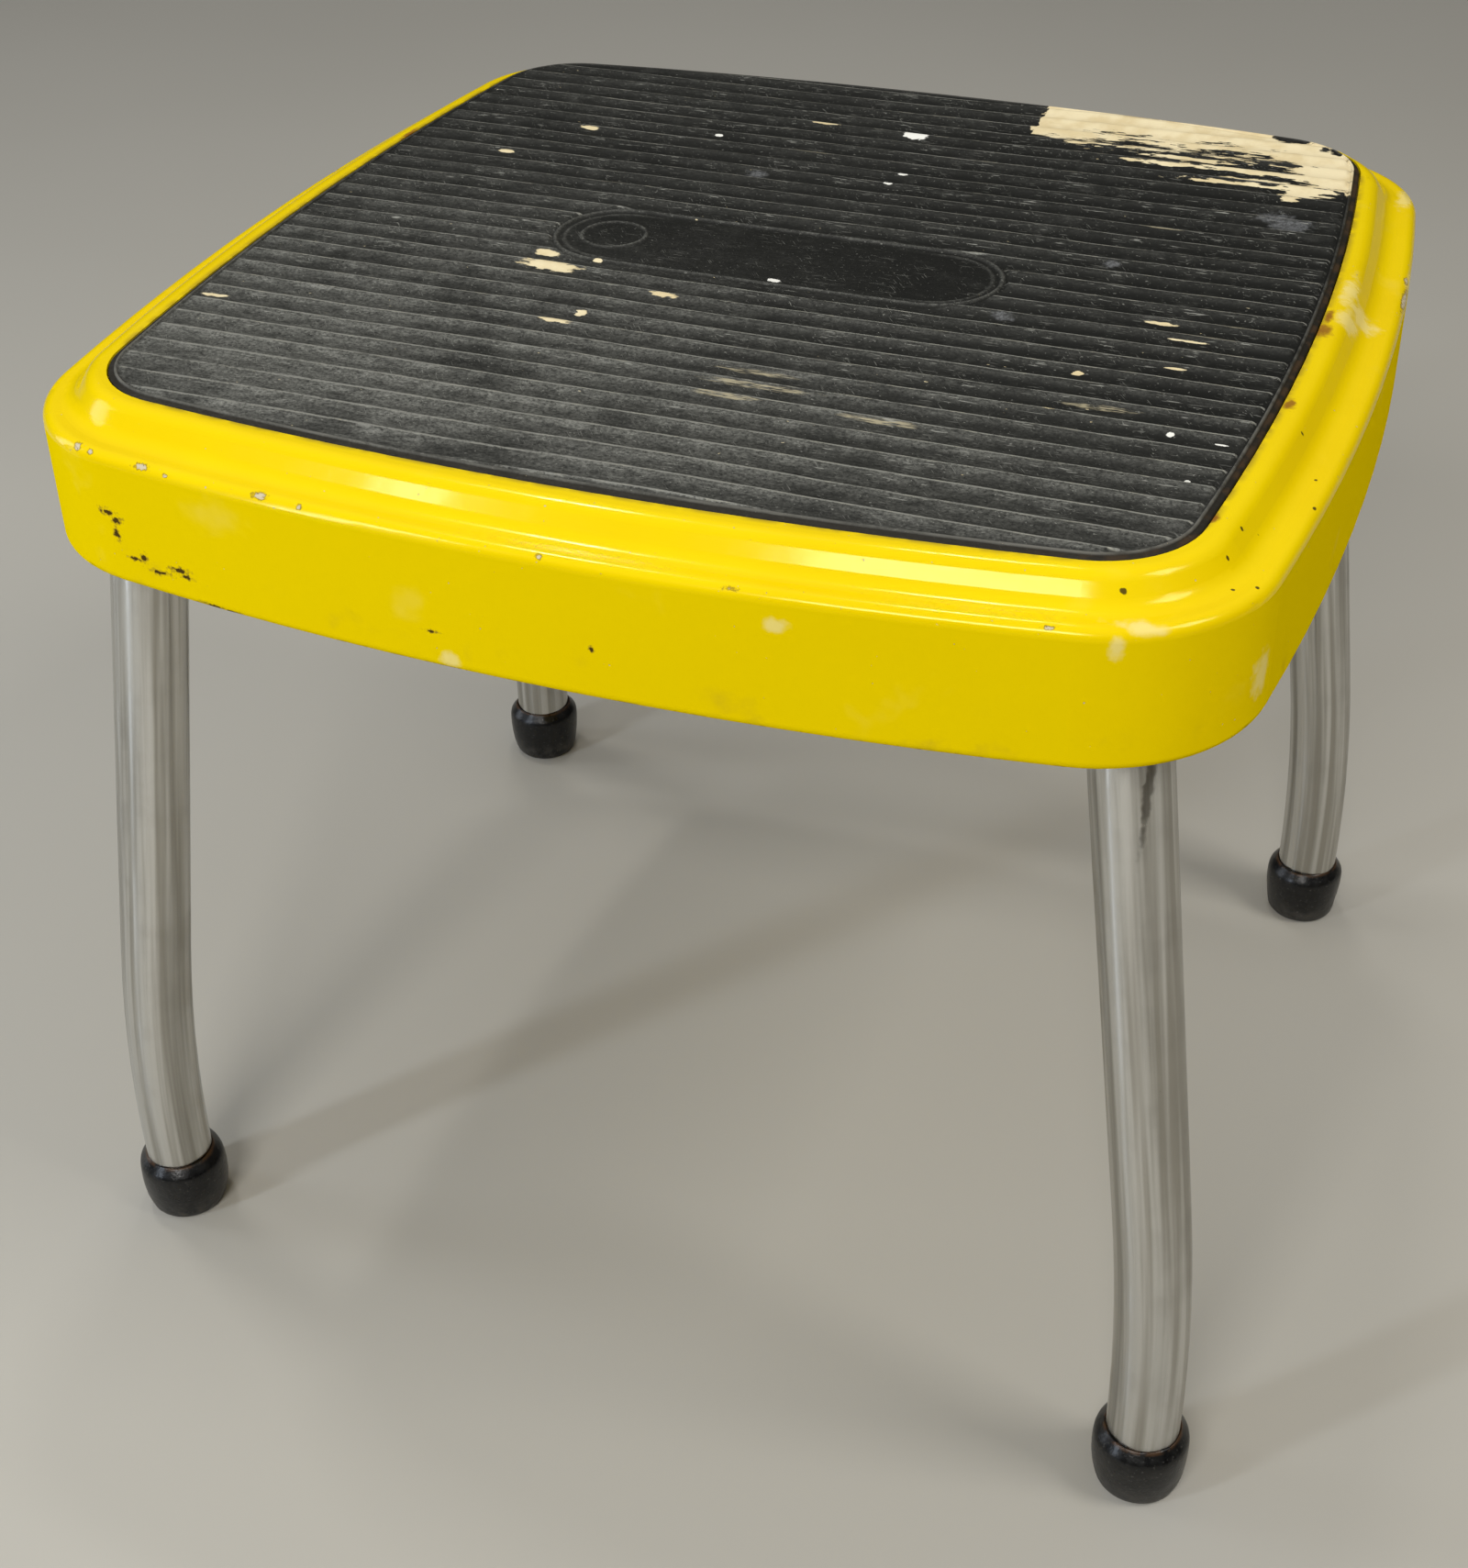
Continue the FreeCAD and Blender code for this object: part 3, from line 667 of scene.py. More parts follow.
PALE_SCUFFS = [
    (60, -167, 287, 3.0, 4.0, 1.8), (-25, -169, 261, 2.6, 3.0, 2.0),
    (166, -126, 272, 2.4, 4.0, 5.0), (158, 30, 301, 2.2, 10.0, 3.0), (163, 22, 298, 4.5, 5.0, 6.0),
    (160, 12, 300, 3.0, 5.0, 5.0), (162, 126, 296, 2.2, 9.0, 3.0), (172, 66, 293, 1.6, 8.0, 3.0),
    (-126, 139, 302, 3.0, 2.0, 2.0), (143, -152, 294.6, 8.0, 2.0, 1.2),
    (137, -156, 291, 1.6, 2.5, 2.6),
]
RUST_STAINS = [
    (155.4, 1, 303, 2.6, 5.0, 2.0), (154.6, -47, 303, 1.6, 3.4, 2.0),
    (155.5, 10, 303, 1.2, 5.0, 2.0), (148, -112, 303, 1.6, 2.6, 2.0),
    (-153, 60, 303, 1.2, 6.0, 2.0),
]


# Heights between which something fades in on the step
GRIME_FADE = (0.275, 0.256)
HEM_FADE = (0.2592, 0.2578)
FOLD_FADE = (0.2953, 0.2950)


def mat_gap(f, x, y):
    """Distance outside the tread mat's outline, negative inside it."""
    outline = mat_outline()
    y = f.plus(y, -outline.middle_y)
    side_run = f.plus(f.maths("ABSOLUTE", x), -outline.side_x)
    front_run = f.plus(f.maths("ABSOLUTE", y), outline.front_y)
    side = f.plus(f.vector("LENGTH", f.joined(side_run, y, 0.0)), MAT_CORNER - MAT_BOW_SIDE)
    front = f.plus(f.vector("LENGTH", f.joined(x, front_run, 0.0)), MAT_CORNER - MAT_BOW_FRONT)
    side = f.maths("MAXIMUM", side, 0.0)
    front = f.maths("MAXIMUM", front, 0.0)
    return f.plus(f.vector("LENGTH", f.joined(side, front, 0.0)), -MAT_CORNER)


def enamel():
    """Thick glossy yellow paint on steel, chipped to grey primer and rust along its folds, with
    painted shade on its side faces.
    """
    f = Finish("worn_yellow_enamel")
    x, y, z = f.parts(f.place)
    up = f.parts(f.normal)[2]
    broad = f.noise(0.06, 2.0, seed=1)
    colour = f.blend(f.step(broad, 0.35, 0.7), YELLOW, YELLOW_WORN)
    on_side = f.step(up, 0.35, 0.05)
    # Side faces are painted a darker yellow: painted shade
    colour = f.blend(f.times(on_side, 0.8), colour, YELLOW_SIDE_SHADED)
    smutty = f.step(f.noise(0.011, 4.0, seed=2), 0.56, 0.8)
    grime = f.times(smutty, f.step(z, *GRIME_FADE), on_side)
    colour = f.blend(f.times(grime, 0.45), colour, GRIME)
    low_edge = f.times(f.step(z, *HEM_FADE), f.step(f.noise(0.004, 3.0, seed=3), 0.52, 0.6))
    colour = f.blend(f.times(low_edge, 0.55), colour, HEM_RUST)
    haze = f.step(f.noise(0.02, 3.0, seed=4), 0.62, 0.85)
    colour = f.blend(f.times(haze, 0.1), colour, PAINT_HAZE)
    gap = mat_gap(f, x, y)
    dirt = f.times(f.step(gap, 2.6 * MM, 0.2 * MM), f.step(f.noise(0.006, 3.0, seed=17), 0.25, 0.6))
    colour = f.blend(f.times(dirt, 0.6), colour, MAT_EDGE_DIRT)

    scuffs = f.marks(PALE_SCUFFS, 0.9, 3.0 * MM, 1.0, 5)
    colour = f.blend(f.times(scuffs, 0.55), colour, SCUFF)
    rust = f.marks(RUST_STAINS, 0.8, 1.6 * MM, 1.1, 6, 0.8)
    colour = f.blend(f.times(rust, 0.85), colour, RUST)
    scratches = f.marks(APRON_SCRATCHES, 1.9, 1.2 * MM, 0.5, 7, 0.72)
    stains = f.marks(APRON_SCRATCHES, 1.9, 1.2 * MM, 1.2, 7, 1.15)
    chips = f.marks(FOLD_CHIPS, 0.9, 0.9 * MM, 0.3, 9, 0.68)
    fringe = f.marks(FOLD_CHIPS, 0.9, 0.9 * MM, 0.5, 9, 0.95)
    colour = f.blend(f.times(f.largest(stains, fringe), 0.7), colour, SCRATCH_STAIN)
    dots = f.marks(SMALL_DOTS, 0.4, 0.7 * MM, 0.4, 10, 0.62)
    along_fold = f.times(f.step(up, 0.12, 0.4), f.step(up, 0.97, 0.8), f.step(z, *FOLD_FADE))
    tiny = f.times(f.step(f.noise(1.5 * MM, 3.0, seed=11), 0.7, 0.73), along_fold)
    specks = f.step(f.noise(1.3 * MM, 1.0, seed=12), 0.79, 0.82)
    bare = f.largest(chips, tiny, f.times(specks, 0.8))
    primer_grain = f.step(f.noise(0.8 * MM, 2.0, seed=13), 0.3, 0.46)
    primer = f.blend(primer_grain, PRIMER_DARK, PRIMER_PALE)
    colour = f.blend(bare, colour, primer)
    dark = f.times(f.largest(dots, scratches), 0.92)
    colour = f.blend(dark, colour, BARE_DARK)

    wear = f.largest(bare, scratches, f.times(scuffs, 0.5), rust)
    smears = f.noise(0.03, 4.0, seed=14)
    gloss = f.plus(0.08, f.times(smears, 0.12), f.times(wear, 0.4))
    f.bump(f.noise(1.6 * MM, 2.0, seed=15), 0.012 * MM)
    f.bump(f.noise(0.018, 2.0, seed=16), 0.16 * MM)
    f.bump(bare, -0.12 * MM)
    f.bump(scratches, -0.05 * MM)
    shine = f.plus(0.28, f.times(on_side, -0.28))
    f.set(Base_Color=colour, Roughness=gloss, Specular_IOR_Level=shine, Specular_Tint=SHINE_TINT)
    return f.finished()


# Paint flecks on the tread: x, y, z, then reach along x, y, z
CREAM_FLECKS = [
    (-60, -28, 304, 9.0, 2.9, 3.0), (-65, -20, 304, 4.0, 1.5, 3.0), (-49, -20, 304, 1.7, 1.0, 3.0),
    (-21, -37, 304, 3.8, 1.3, 3.0), (-38, -56, 304, 1.6, 1.3, 3.0), (-43, -63, 304, 5.0, 1.2, 3.0),
    (-142, -77, 304, 4.5, 1.0, 3.0), (-97, 81, 304, 3.4, 1.2, 3.0), (-114, 53, 304, 2.4, 1.0, 3.0),
    (-24, 110, 304, 4.5, 0.9, 3.0), (114, -11, 304, 4.2, 0.8, 3.0), (123, -20, 304, 5.0, 0.45, 3.0),
    (91, 2, 304, 1.6, 0.7, 3.0), (100, -48, 304, 1.5, 1.0, 3.0), (98, -71, 304, 1.6, 0.7, 3.0),
    (123, -38, 304, 3.4, 0.45, 3.0),
]
WHITE_FLECKS = [
    (7, 109, 304, 4.4, 3.0, 3.0), (12, 64, 304, 1.6, 1.0, 3.0), (4, -16, 304, 2.3, 1.2, 3.0),
    (130, -75, 304, 1.2, 1.0, 3.0), (-54, 89, 304, 1.5, 0.9, 3.0), (14, 73, 304, 1.8, 0.8, 3.0),
    (139, -97, 304, 0.9, 0.9, 3.0), (143, -76, 304, 1.8, 0.4, 3.0),
]
WORN_LINES = [
    (24, -83, 304, 13.0, 0.9, 3.0), (21, -75, 304, 9.0, 0.8, 3.0), (18, -91, 304, 8.0, 1.2, 3.0),
    (60, -92, 304, 9.0, 0.9, 3.0), (110, -66, 304, 8.0, 0.9, 3.0), (100, 55, 304, 5.0, 0.4, 3.0),
    (138, -8, 304, 9.0, 0.6, 3.0), (128, -17, 304, 8.0, 0.5, 3.0), (133, -26, 304, 9.0, 0.5, 3.0),
    (116, -34, 304, 7.0, 0.5, 3.0), (104, 11, 304, 9.0, 0.5, 3.0), (138, -44, 304, 7.0, 0.5, 3.0),
    (94, 20, 304, 9.0, 0.45, 3.0), (88, 56, 304, 7.0, 0.45, 3.0), (66, 75, 304, 8.0, 0.45, 3.0),
    (36, 92, 304, 9.0, 0.4, 3.0), (-20, 83, 304, 7.0, 0.4, 3.0), (-72, 38, 304, 7.0, 0.5, 3.0),
]
GREY_SMUDGES = [
    (129, 75, 304, 5.0, 4.0, 5.0), (135, 70, 304, 5.0, 3.5, 5.0), (92, 25, 304, 2.0, 1.6, 4.0),
    (72, -20, 304, 2.4, 2.0, 4.0), (-30, 60, 304, 3.0, 2.0, 4.0),
]
# The patch of old paint: its left edge, below which depth it is gone and above which it is whole,
# and how far both limits shift at its left and right ends
PATCH_LEFT = 0.041
PATCH_BARE_BELOW = 0.108
PATCH_SOLID_ABOVE = 0.139
PATCH_LEFT_FADE = (0.06, 0.045)
PATCH_LEFT_SHIFT = 0.013
PATCH_RIGHT_FADE = (0.118, 0.14)
PATCH_RIGHT_SHIFT = (-0.011, -0.032)
PATCH_SLIVERS = [
    (62, 126, 304, 14.0, 1.2, 4.0), (84, 121, 304, 12.0, 1.4, 4.0),
    (96, 115.5, 304, 13.0, 1.2, 4.0), (90, 108.5, 304, 12.0, 1.0, 4.0),
    (114, 109, 304, 14.0, 1.3, 4.0), (112, 98.5, 304, 17.0, 0.9, 4.0),
    (122, 103.5, 304, 13.0, 1.4, 4.0), (134, 99, 304, 8.0, 3.4, 4.0),
    (132, 94.5, 304, 5.0, 2.0, 4.0), (131, 90.5, 304, 2.6, 1.4, 4.0),
]
PATCH_HOLES = [
    (124, 143, 304, 6.0, 3.4, 4.0), (139, 136, 304, 5.0, 2.4, 4.0), (122, 118, 304, 9.0, 1.0, 4.0),
    (106, 125, 304, 8.0, 0.9, 4.0), (134, 112, 304, 7.0, 0.8, 4.0),
]


# Where along x or y the wear of the tread comes in
LEFT_FADE = (0.14, -0.15)
FRONT_FADE = (0.07, -0.13)
NEAR_FADE = (-0.05, -0.13)
RIGHT_EDGE_FADE = (0.1, 0.15)
SLANT = 0.9                     # turn of the slanting scratches, in radians


def tread_rubber():
    """Black ribbed rubber: grey crests that are partly worn and partly painted highlight, rib faces
    painted lighter and grooves darker as painted light and shade, dust, scratches and old cream
    paint.
    """
    f = Finish("worn_ribbed_rubber")
    x, y = f.parts(f.place)[:2]
    relief = f.attribute("relief")
    inset = f.attribute("inset")
    across = f.plus(f.maths("FRACT", f.plus(f.attribute("phase"), 0.5)), -0.5)
    # The front face of each rib is painted lighter than the groove behind it: painted light and
    # painted shade, scaled by wear
    lit_rib_face = f.times(f.step(across, -0.46, 0.0), f.step(across, 0.24, 0.12), relief)
    # The thin bright line along each crest's rear edge is partly wear and partly a painted
    # highlight
    edge = f.times(f.step(f.maths("ABSOLUTE", f.plus(across, -0.13)), 0.095, 0.025), relief)
    plain = f.times(f.step(relief, 0.3, 0.05), f.step(inset, 2.8, 4.0))
    grain = f.noise(0.75 * MM, 4.0, (1.4, 1, 1), seed=1, rough=0.75)
    mottle = f.noise(3.2 * MM, 4.0, (2.0, 0.7, 1), seed=2, rough=0.6)
    clouds = f.noise(0.03, 5.0, seed=3, rough=0.6)
    rub = f.step(f.noise(0.01, 5.0, (3.5, 0.4, 1), seed=4), 0.34, 0.64)

    left = f.step(x, *LEFT_FADE)
    front = f.step(y, *FRONT_FADE)
    used = f.plus(0.2, f.times(front, 0.5))
    near = f.step(y, *NEAR_FADE)
    dusty = f.plus(f.times(left, front, 0.42), f.times(left, 0.05), f.times(near, 0.21))
    dust = f.times(dusty, f.step(clouds, 0.15, 0.6))
    haze = f.times(f.step(f.noise(0.008, 5.0, seed=5, rough=0.62), 0.5, 0.8), 0.07)
    # Grey level of the rubber: painted light on the rib faces, crest and panel lines that are
    # partly wear and partly painted highlight, dust and haze
    shade = f.plus(
        f.times(lit_rib_face, lit_rib_face, used, 0.26),
        f.times(edge, f.plus(0.55, used), f.plus(0.3, rub), 1.75),
        f.times(dust, f.plus(0.55, f.times(lit_rib_face, 0.45))),
        haze,
        # The panel's raised lines are painted lighter, partly wear and partly painted highlight
        f.times(f.attribute("lines"), 0.42),
    )
    shade = f.times(shade, f.plus(1.0, f.times(plain, -0.4)))
    rough_grain = f.maths("MAXIMUM", f.plus(-1.5, f.times(grain, 5.0)), 0.12)
    uneven = f.times(rough_grain, f.plus(-0.3, f.times(mottle, 2.6)))
    colour = f.blend(f.times(shade, uneven), RUBBER, RUBBER_DUST_AND_LIGHT)

    dashes = f.step(f.noise(0.6 * MM, 2.0, (9, 0.8, 1), seed=6), 0.63, 0.69)
    turned = f.add("ShaderNodeVectorRotate", rotation_type="Z_AXIS")
    f.feed(turned.inputs["Vector"], f.place)
    turned.inputs["Angle"].default_value = SLANT
    slants = f.noise(0.45 * MM, 1.0, (14, 0.7, 1), place=turned.outputs[0], seed=7)
    slants = f.step(slants, 0.69, 0.74)
    gate = f.step(f.noise(0.012, 2.0, seed=8), 0.42, 0.6)
    scratches = f.times(f.largest(f.times(dashes, f.plus(0.35, lit_rib_face)), f.times(slants, 0.6)), gate)
    colour = f.blend(f.times(scratches, 0.75), colour, RUBBER_SCRATCH)
    pale_specks = f.step(f.noise(0.8 * MM, 2.0, (1.3, 1, 1), seed=26), 0.67, 0.74)
    colour = f.blend(f.times(pale_specks, 0.5), colour, RUBBER_SCRATCH)
    nicks = f.times(f.step(f.noise(0.9 * MM, 2.0, (4.5, 0.6, 1), seed=9), 0.55, 0.63), edge)
    colour = f.blend(f.times(nicks, 0.85), colour, NICK)
    grit = f.step(grain, 0.4, 0.6)
    smudges = f.marks(GREY_SMUDGES, 1.3, 2.4 * MM, 1.0, 10)
    smudges = f.times(smudges, f.plus(0.35, f.times(grit, 0.65)))
    colour = f.blend(f.times(smudges, 0.65), colour, SMUDGE)
    lines = f.marks(WORN_LINES, 0.8, 1.5 * MM, 0.8, 11, 1.0, (2.5, 0.6, 1))
    lines = f.times(lines, f.step(f.noise(0.8 * MM, 2.0, (6, 0.5, 1), seed=12), 0.42, 0.55))
    colour = f.blend(f.times(lines, 0.7), colour, WORN_PAINT)

    border = f.step(inset, 1.8, 1.5)
    colour = f.blend(f.times(border, 0.85), colour, RUBBER_BORDER)
    lip = f.times(f.step(inset, 2.5, 2.3), f.step(inset, 1.5, 1.8))
    worn_lip = f.times(lip, f.plus(0.2, f.times(rub, 0.4)), f.plus(0.5, front))
    colour = f.blend(worn_lip, colour, RUBBER_LIP)
    rusty = f.step(f.noise(0.006, 3.0, seed=13), 0.42, 0.6)
    edge_rust = f.times(f.step(inset, 2.0, 1.0), f.step(x, *RIGHT_EDGE_FADE), rusty)
    colour = f.blend(f.times(edge_rust, 0.5), colour, BORDER_RUST)

    flecks = f.marks(CREAM_FLECKS, 0.9, 1.6 * MM, 0.25, 14, 0.95, (2.0, 0.7, 1))
    crumbs = f.step(f.noise(1.0 * MM, 1.0, (2.2, 0.8, 1), seed=15), 0.8, 0.815)
    crumbs = f.times(crumbs, f.step(f.noise(0.02, 1.0, seed=16), 0.5, 0.6))
    patch = paint_patch(f, x, y, across, inset)
    cream = f.largest(flecks, f.times(crumbs, 0.9), patch)
    tint = f.blend(f.step(f.noise(0.008, 3.0, seed=17), 0.35, 0.65), CREAM, CREAM_AGED)
    # The cream paint is painted darker in the grooves behind the crests: painted shade
    in_groove = f.step(f.maths("ABSOLUTE", f.plus(across, -0.22)), 0.09, 0.02)
    groove_shade = f.times(in_groove, f.step(grain, 0.3, 0.5), patch)
    tint = f.blend(f.times(groove_shade, 0.55), tint, CREAM_GROOVE_SHADE)
    colour = f.blend(cream, colour, tint)
    white = f.marks(WHITE_FLECKS, 0.5, 1.2 * MM, 0.2, 18, 0.9)
    colour = f.blend(white, colour, WHITE)

    paint = f.largest(cream, white)
    rough = f.plus(0.44, f.times(dust, 0.25), f.times(grain, 0.16), f.times(paint, 0.08))
    f.bump(f.noise(0.45 * MM, 3.0, (1.8, 1, 1), seed=19), 0.045 * MM)
    f.bump(f.noise(3.0 * MM, 3.0, (2.5, 1, 1), seed=20), 0.1 * MM)
    f.bump(paint, 0.1 * MM)
    f.bump(f.largest(scratches, nicks), -0.04 * MM)
    f.set(Base_Color=colour, Roughness=rough, Specular_IOR_Level=0.14)
    return f.finished()


def paint_patch(f, x, y, across, inset):
    """Old cream paint over the rear right of the tread, flaked into slivers along the ribs."""
    slivers = f.noise(0.8 * MM, 4.0, (9.0, 0.9, 1), seed=22, rough=0.6)
    chunks = f.noise(0.007, 4.0, (2.2, 0.5, 1), seed=23, rough=0.6)
    right = f.step(x, *PATCH_RIGHT_FADE)
    left = f.step(x, *PATCH_LEFT_FADE)
    at_left = f.times(left, PATCH_LEFT_SHIFT)
    bare_below = f.plus(PATCH_BARE_BELOW, at_left, f.times(right, PATCH_RIGHT_SHIFT[0]))
    at_left = f.times(left, -PATCH_LEFT_SHIFT)
    solid_above = f.plus(PATCH_SOLID_ABOVE, at_left, f.times(right, PATCH_RIGHT_SHIFT[1]))
    depth = f.maths("SUBTRACT", y, bare_below)
    depth = f.maths("DIVIDE", depth, f.maths("SUBTRACT", solid_above, bare_below))
    hold = f.plus(depth, f.times(f.plus(slivers, -0.5), 1.6), f.times(f.plus(chunks, -0.5), 1.5))
    hold = f.plus(hold, f.times(f.step(across, -0.35, 0.1), f.step(across, 0.3, 0.15), 0.22))
    solid = f.step(hold, 0.55, 0.6)
    ragged_x = f.plus(x, f.times(f.plus(f.noise(0.003, 3.0, (1, 1.4, 1), seed=24), -0.5), 0.006))
    inside = f.times(f.step(ragged_x, PATCH_LEFT, PATCH_LEFT + 0.0004), f.step(inset, 1.6, 1.9))
    lost = f.marks(PATCH_HOLES, 1.2, 2.2 * MM, 0.2, 25, 1.0, (2.0, 0.6, 1))
    solid = f.times(solid, f.maths("SUBTRACT", 1.0, lost))
    left_over = f.marks(PATCH_SLIVERS, 1.6, 1.6 * MM, 0.15, 27, 1.0, (3.0, 0.6, 1))
    return f.times(f.largest(solid, left_over), inside)


# Stain on the front right leg, just under the step: x, y, z, then reach along x, y, z
LEG_STAIN = [(145, -143, 246, 1.0, 12.0, 15.0)]


def along_tube(f):
    """Coordinates that stay the same along a leg, so that streaks follow its bend."""
    x, y, z = f.parts(f.place)
    above = f.maths("MAXIMUM", f.plus(z, -BEND_START), 0.0)
    in_bend = f.maths("MINIMUM", above, 2 * BEND_REACH)
    bent = f.times(in_bend, in_bend, 1 / (4 * BEND_REACH))
    rise = f.plus(bent, f.maths("SUBTRACT", above, in_bend))
    level_x = f.plus(f.maths("ABSOLUTE", x), f.times(rise, LEG_LEAN[0]))
    level_y = f.plus(f.maths("ABSOLUTE", y), f.times(rise, LEG_LEAN[1]))
    return f.joined(level_x, level_y, f.times(z, 0.02))


def chrome():
    """Old chrome on tube, hazed and stained, with painted reflections as dark and bright bands
    along it. Fine brushing stretches reflections along it.
    """
    f = Finish("old_chromed_tube")
    straight = along_tube(f)
    streaks = f.noise(0.7 * MM, 3.0, place=straight, seed=1, rough=0.6)
    bands = f.noise(3.2 * MM, 2.0, place=straight, seed=2)
    cloud = f.noise(0.02, 4.0, seed=3)
    # Dark and bright bands along the tube are painted reflections
    colour = f.blend(f.step(bands, 0.36, 0.64), CHROME_DARK_REFLECTION, CHROME)
    colour = f.blend(f.times(f.step(streaks, 0.45, 0.75), 0.16), colour, CHROME_STREAK)
    colour = f.blend(f.times(f.step(cloud, 0.5, 0.8), 0.25), colour, CHROME_HAZE)
    pits = f.step(f.noise(0.8 * MM, 2.0, seed=4), 0.76, 0.8)
    colour = f.blend(f.times(pits, 0.6), colour, CHROME_PIT)
    stain = f.marks(LEG_STAIN, 1.0, 4.0 * MM, 0.8, 5)
    colour = f.blend(f.times(stain, 0.6), colour, CHROME_STAIN)
    haze = f.times(f.step(cloud, 0.35, 0.75), 0.08)
    rough = f.plus(0.15, haze, f.times(streaks, 0.06), f.times(stain, 0.2))
    f.bump(bands, 0.01 * MM)
    f.set(Base_Color=colour, Metallic=1.0, Roughness=rough)
    f.set(Anisotropic=0.97, Tangent=f.joined(0.0, 0.0, 1.0))
    return f.finished()


# Heights between which dust and rust fade in on a tip
TIP_DUST_FADE = (0.011, 0.002)
TIP_RUST_FADE = (0.0218, 0.0226)


def tip_rubber():
    """Black moulded rubber, semi-gloss, dusty round the foot and scuffed."""
    f = Finish("black_tip_rubber")
    z = f.parts(f.place)[2]
    mottle = f.noise(2.5 * MM, 4.0, seed=1)
    colour = f.blend(f.step(mottle, 0.35, 0.7), TIP_BLACK, TIP_GREY)
    dust = f.times(f.step(z, *TIP_DUST_FADE), f.step(f.noise(0.004, 4.0, seed=2), 0.35, 0.7))
    colour = f.blend(f.times(dust, 0.5), colour, TIP_DUST)
    specks = f.step(f.noise(1.0 * MM, 3.0, seed=3), 0.6, 0.74)
    colour = f.blend(f.times(specks, 0.4), colour, TIP_SPECK)
    mouth = f.times(f.step(z, *TIP_RUST_FADE), f.step(f.noise(0.003, 2.0, seed=4), 0.35, 0.55))
    colour = f.blend(f.times(mouth, 0.5), colour, TIP_RUST)
    rough = f.plus(0.22, f.times(mottle, 0.16), f.times(dust, 0.35))
    f.bump(f.noise(0.8 * MM, 3.0, seed=5), 0.06 * MM)
    f.bump(f.noise(4.0 * MM, 2.0, seed=6), 0.16 * MM)
    f.set(Base_Color=colour, Roughness=rough, Specular_IOR_Level=0.4)
    return f.finished()


def zinc_steel():
    """Dull zinc-plated steel with a little rust, for the screws, nuts and washers."""
    f = Finish("zinc_plated_steel")
    mottle = f.noise(1.6 * MM, 4.0, seed=1)
    colour = f.blend(f.step(mottle, 0.35, 0.65), ZINC_DARK, ZINC)
    rust = f.step(f.noise(1.8 * MM, 4.0, seed=2, rough=0.6), 0.58, 0.7)
    colour = f.blend(f.times(rust, 0.8), colour, ZINC_RUST)
    f.bump(mottle, 0.03 * MM)
    f.set(Base_Color=colour, Metallic=f.maths("SUBTRACT", 1.0, f.times(rust, 0.9)))
    f.set(Roughness=f.plus(0.32, f.times(mottle, 0.15), f.times(rust, 0.35)))
    return f.finished()


def floor_finish():
    f = Finish("pale_floor")
    tone = f.noise(0.5, 3.0, seed=1)
    f.set(Base_Color=f.blend(tone, FLOOR_DARK, FLOOR_PALE), Roughness=0.62)
    return f.finished()


# ---- Staging ----

def paint_node(name, material):
    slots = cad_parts[name].data.materials
    slots.clear()
    slots.append(material)
    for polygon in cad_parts[name].data.polygons:
        polygon.material_index = 0


def floor(material):
    mesh = bpy.data.meshes.new("floor")
    signs = ((-1, -1), (1, -1), (1, 1), (-1, 1))
    corners = [(x * FLOOR_REACH, y * FLOOR_REACH, 0) for x, y in signs]
    mesh.from_pydata(corners, [], [[0, 1, 2, 3]])
    mesh.materials.append(material)
    piece = bpy.data.objects.new("floor", mesh)
    bpy.context.scene.collection.objects.link(piece)


# Soft lights: name, place, what they aim at, size, power in watts, colour
STUDIO_BOXES = [
    ("front", (0.1, -1.5, 1.4), (0, 0, 0.2), (0.7, 0.32), 15.5, (1.0, 0.98, 0.95)),
    ("ceiling_left", (-0.62, 0.2, 1.75), (0, 0, 0.25), (0.2, 0.06), 3.4, (1.0, 0.98, 0.95)),
    ("ceiling_right", (-0.15, 0.4, 1.75), (0, 0, 0.25), (0.14, 0.06), 2.3, (1.0, 0.98, 0.95)),
    ("right_top", (1.1, -0.1, 1.5), (0, 0, 0.25), (0.5, 0.5), 8.5, (1.0, 0.97, 0.92)),
    ("window", (-0.95, -1.28, 0.85), (0, 0, 0.15), (0.1, 1.1), 8.0, (0.78, 0.87, 1.0)),
    ("left_side", (-1.6, -0.3, 0.6), (0, 0, 0.15), (0.4, 1.0), 4.4, (0.85, 0.91, 1.0)),
]
# Height up the sky and brightness there
SKY_STOPS = [(0.3, 0.03), (0.95, 0.8)]
SKY_STRENGTH = 0.5


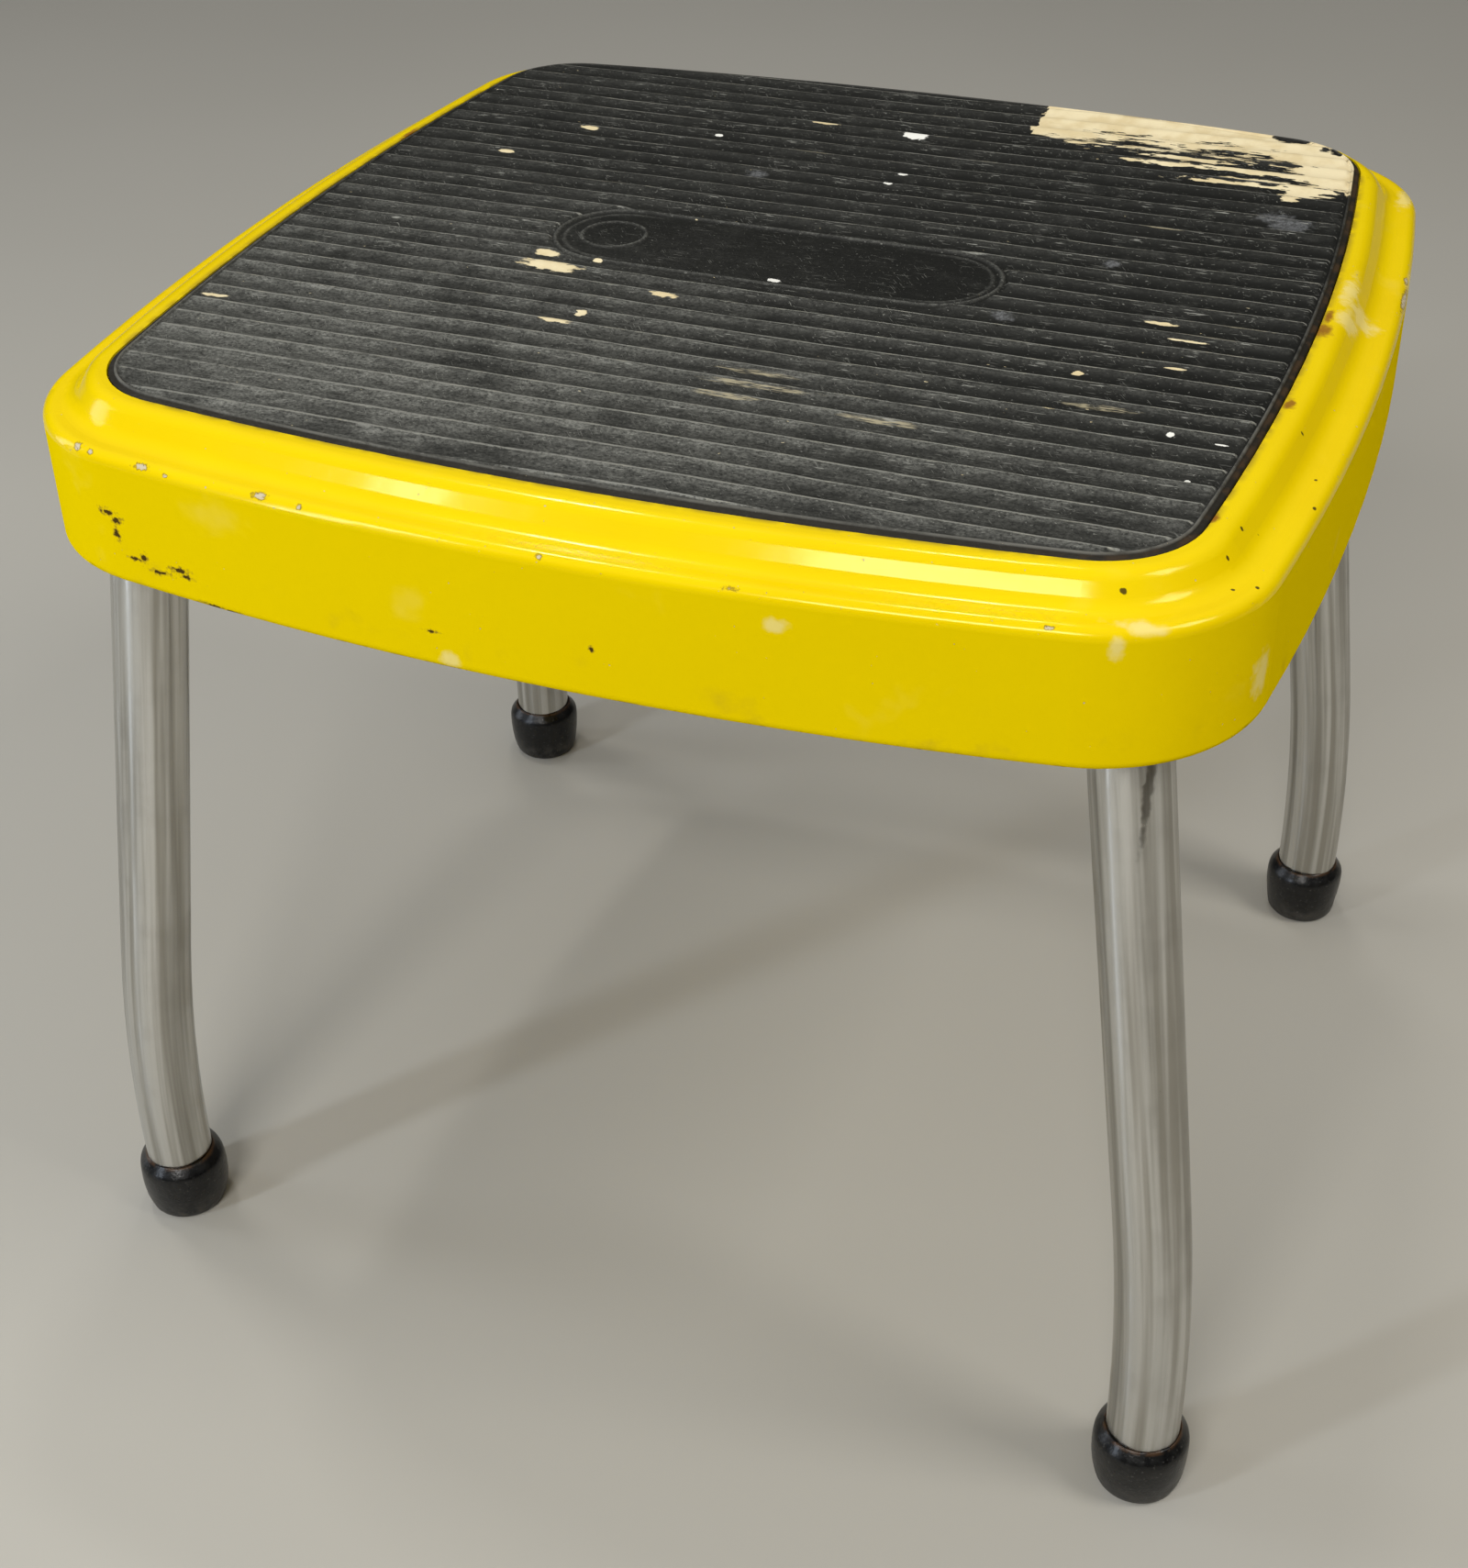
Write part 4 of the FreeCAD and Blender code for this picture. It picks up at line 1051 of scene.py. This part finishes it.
def softbox(name, place, aim, size, power, colour):
    data = bpy.data.lights.new(name, "AREA")
    data.shape = "RECTANGLE"
    data.size, data.size_y = size
    data.energy = power
    data.color = colour
    lamp = bpy.data.objects.new(name, data)
    lamp.location = place
    lamp.rotation_euler = (Vector(aim) - Vector(place)).to_track_quat("-Z", "Y").to_euler()
    bpy.context.scene.collection.objects.link(lamp)


def studio():
    """Soft light: a front box over the camera, ceiling boxes, dim side boxes and a graded sky."""
    for box in STUDIO_BOXES:
        softbox(*box)
    world = bpy.data.worlds.new("studio")
    world.use_nodes = True
    tree = world.node_tree
    place = tree.nodes.new("ShaderNodeTexCoord")
    split = tree.nodes.new("ShaderNodeSeparateXYZ")
    ramp = tree.nodes.new("ShaderNodeValToRGB")
    tree.links.new(place.outputs["Generated"], split.inputs[0])
    tree.links.new(split.outputs[2], ramp.inputs[0])
    tree.links.new(ramp.outputs[0], tree.nodes["Background"].inputs[0])
    for stop, (height, level) in zip(ramp.color_ramp.elements, SKY_STOPS):
        stop.position = height
        stop.color = (level, level, level, 1)
    tree.nodes["Background"].inputs[1].default_value = SKY_STRENGTH
    bpy.context.scene.world = world


def camera():
    data = bpy.data.cameras.new("camera")
    data.lens = CAMERA_LENS
    data.sensor_width = CAMERA_SENSOR
    data.clip_start = 0.01
    view = bpy.data.objects.new("camera", data)
    view.location = CAMERA_PLACE
    view.rotation_euler = CAMERA_TURN
    bpy.context.scene.collection.objects.link(view)
    bpy.context.scene.camera = view


def build():
    yellow = enamel()
    for name in ("top_pan", "leg_channel_left", "leg_channel_right", "deck_stiffener"):
        paint_node(name, yellow)
    tube = chrome()
    for name in ("leg_frame_left", "leg_frame_right"):
        paint_node(name, tube)
    steel = zinc_steel()
    for name in ("frame_screws", "weld_nuts", "saddle_washers", "lock_washers", "tip_washers"):
        paint_node(name, steel)
    tread_mat(tread_rubber())
    black = tip_rubber()
    for seed, end in enumerate(("front_left", "front_right", "rear_left", "rear_right")):
        rubber_tip("foot_tip_" + end, black, seed)
    floor(floor_finish())
    studio()
    camera()
    bpy.context.scene.view_settings.view_transform = "Standard"
    bpy.context.scene.view_settings.look = "None"


build()

bpy.context.view_layer.update()
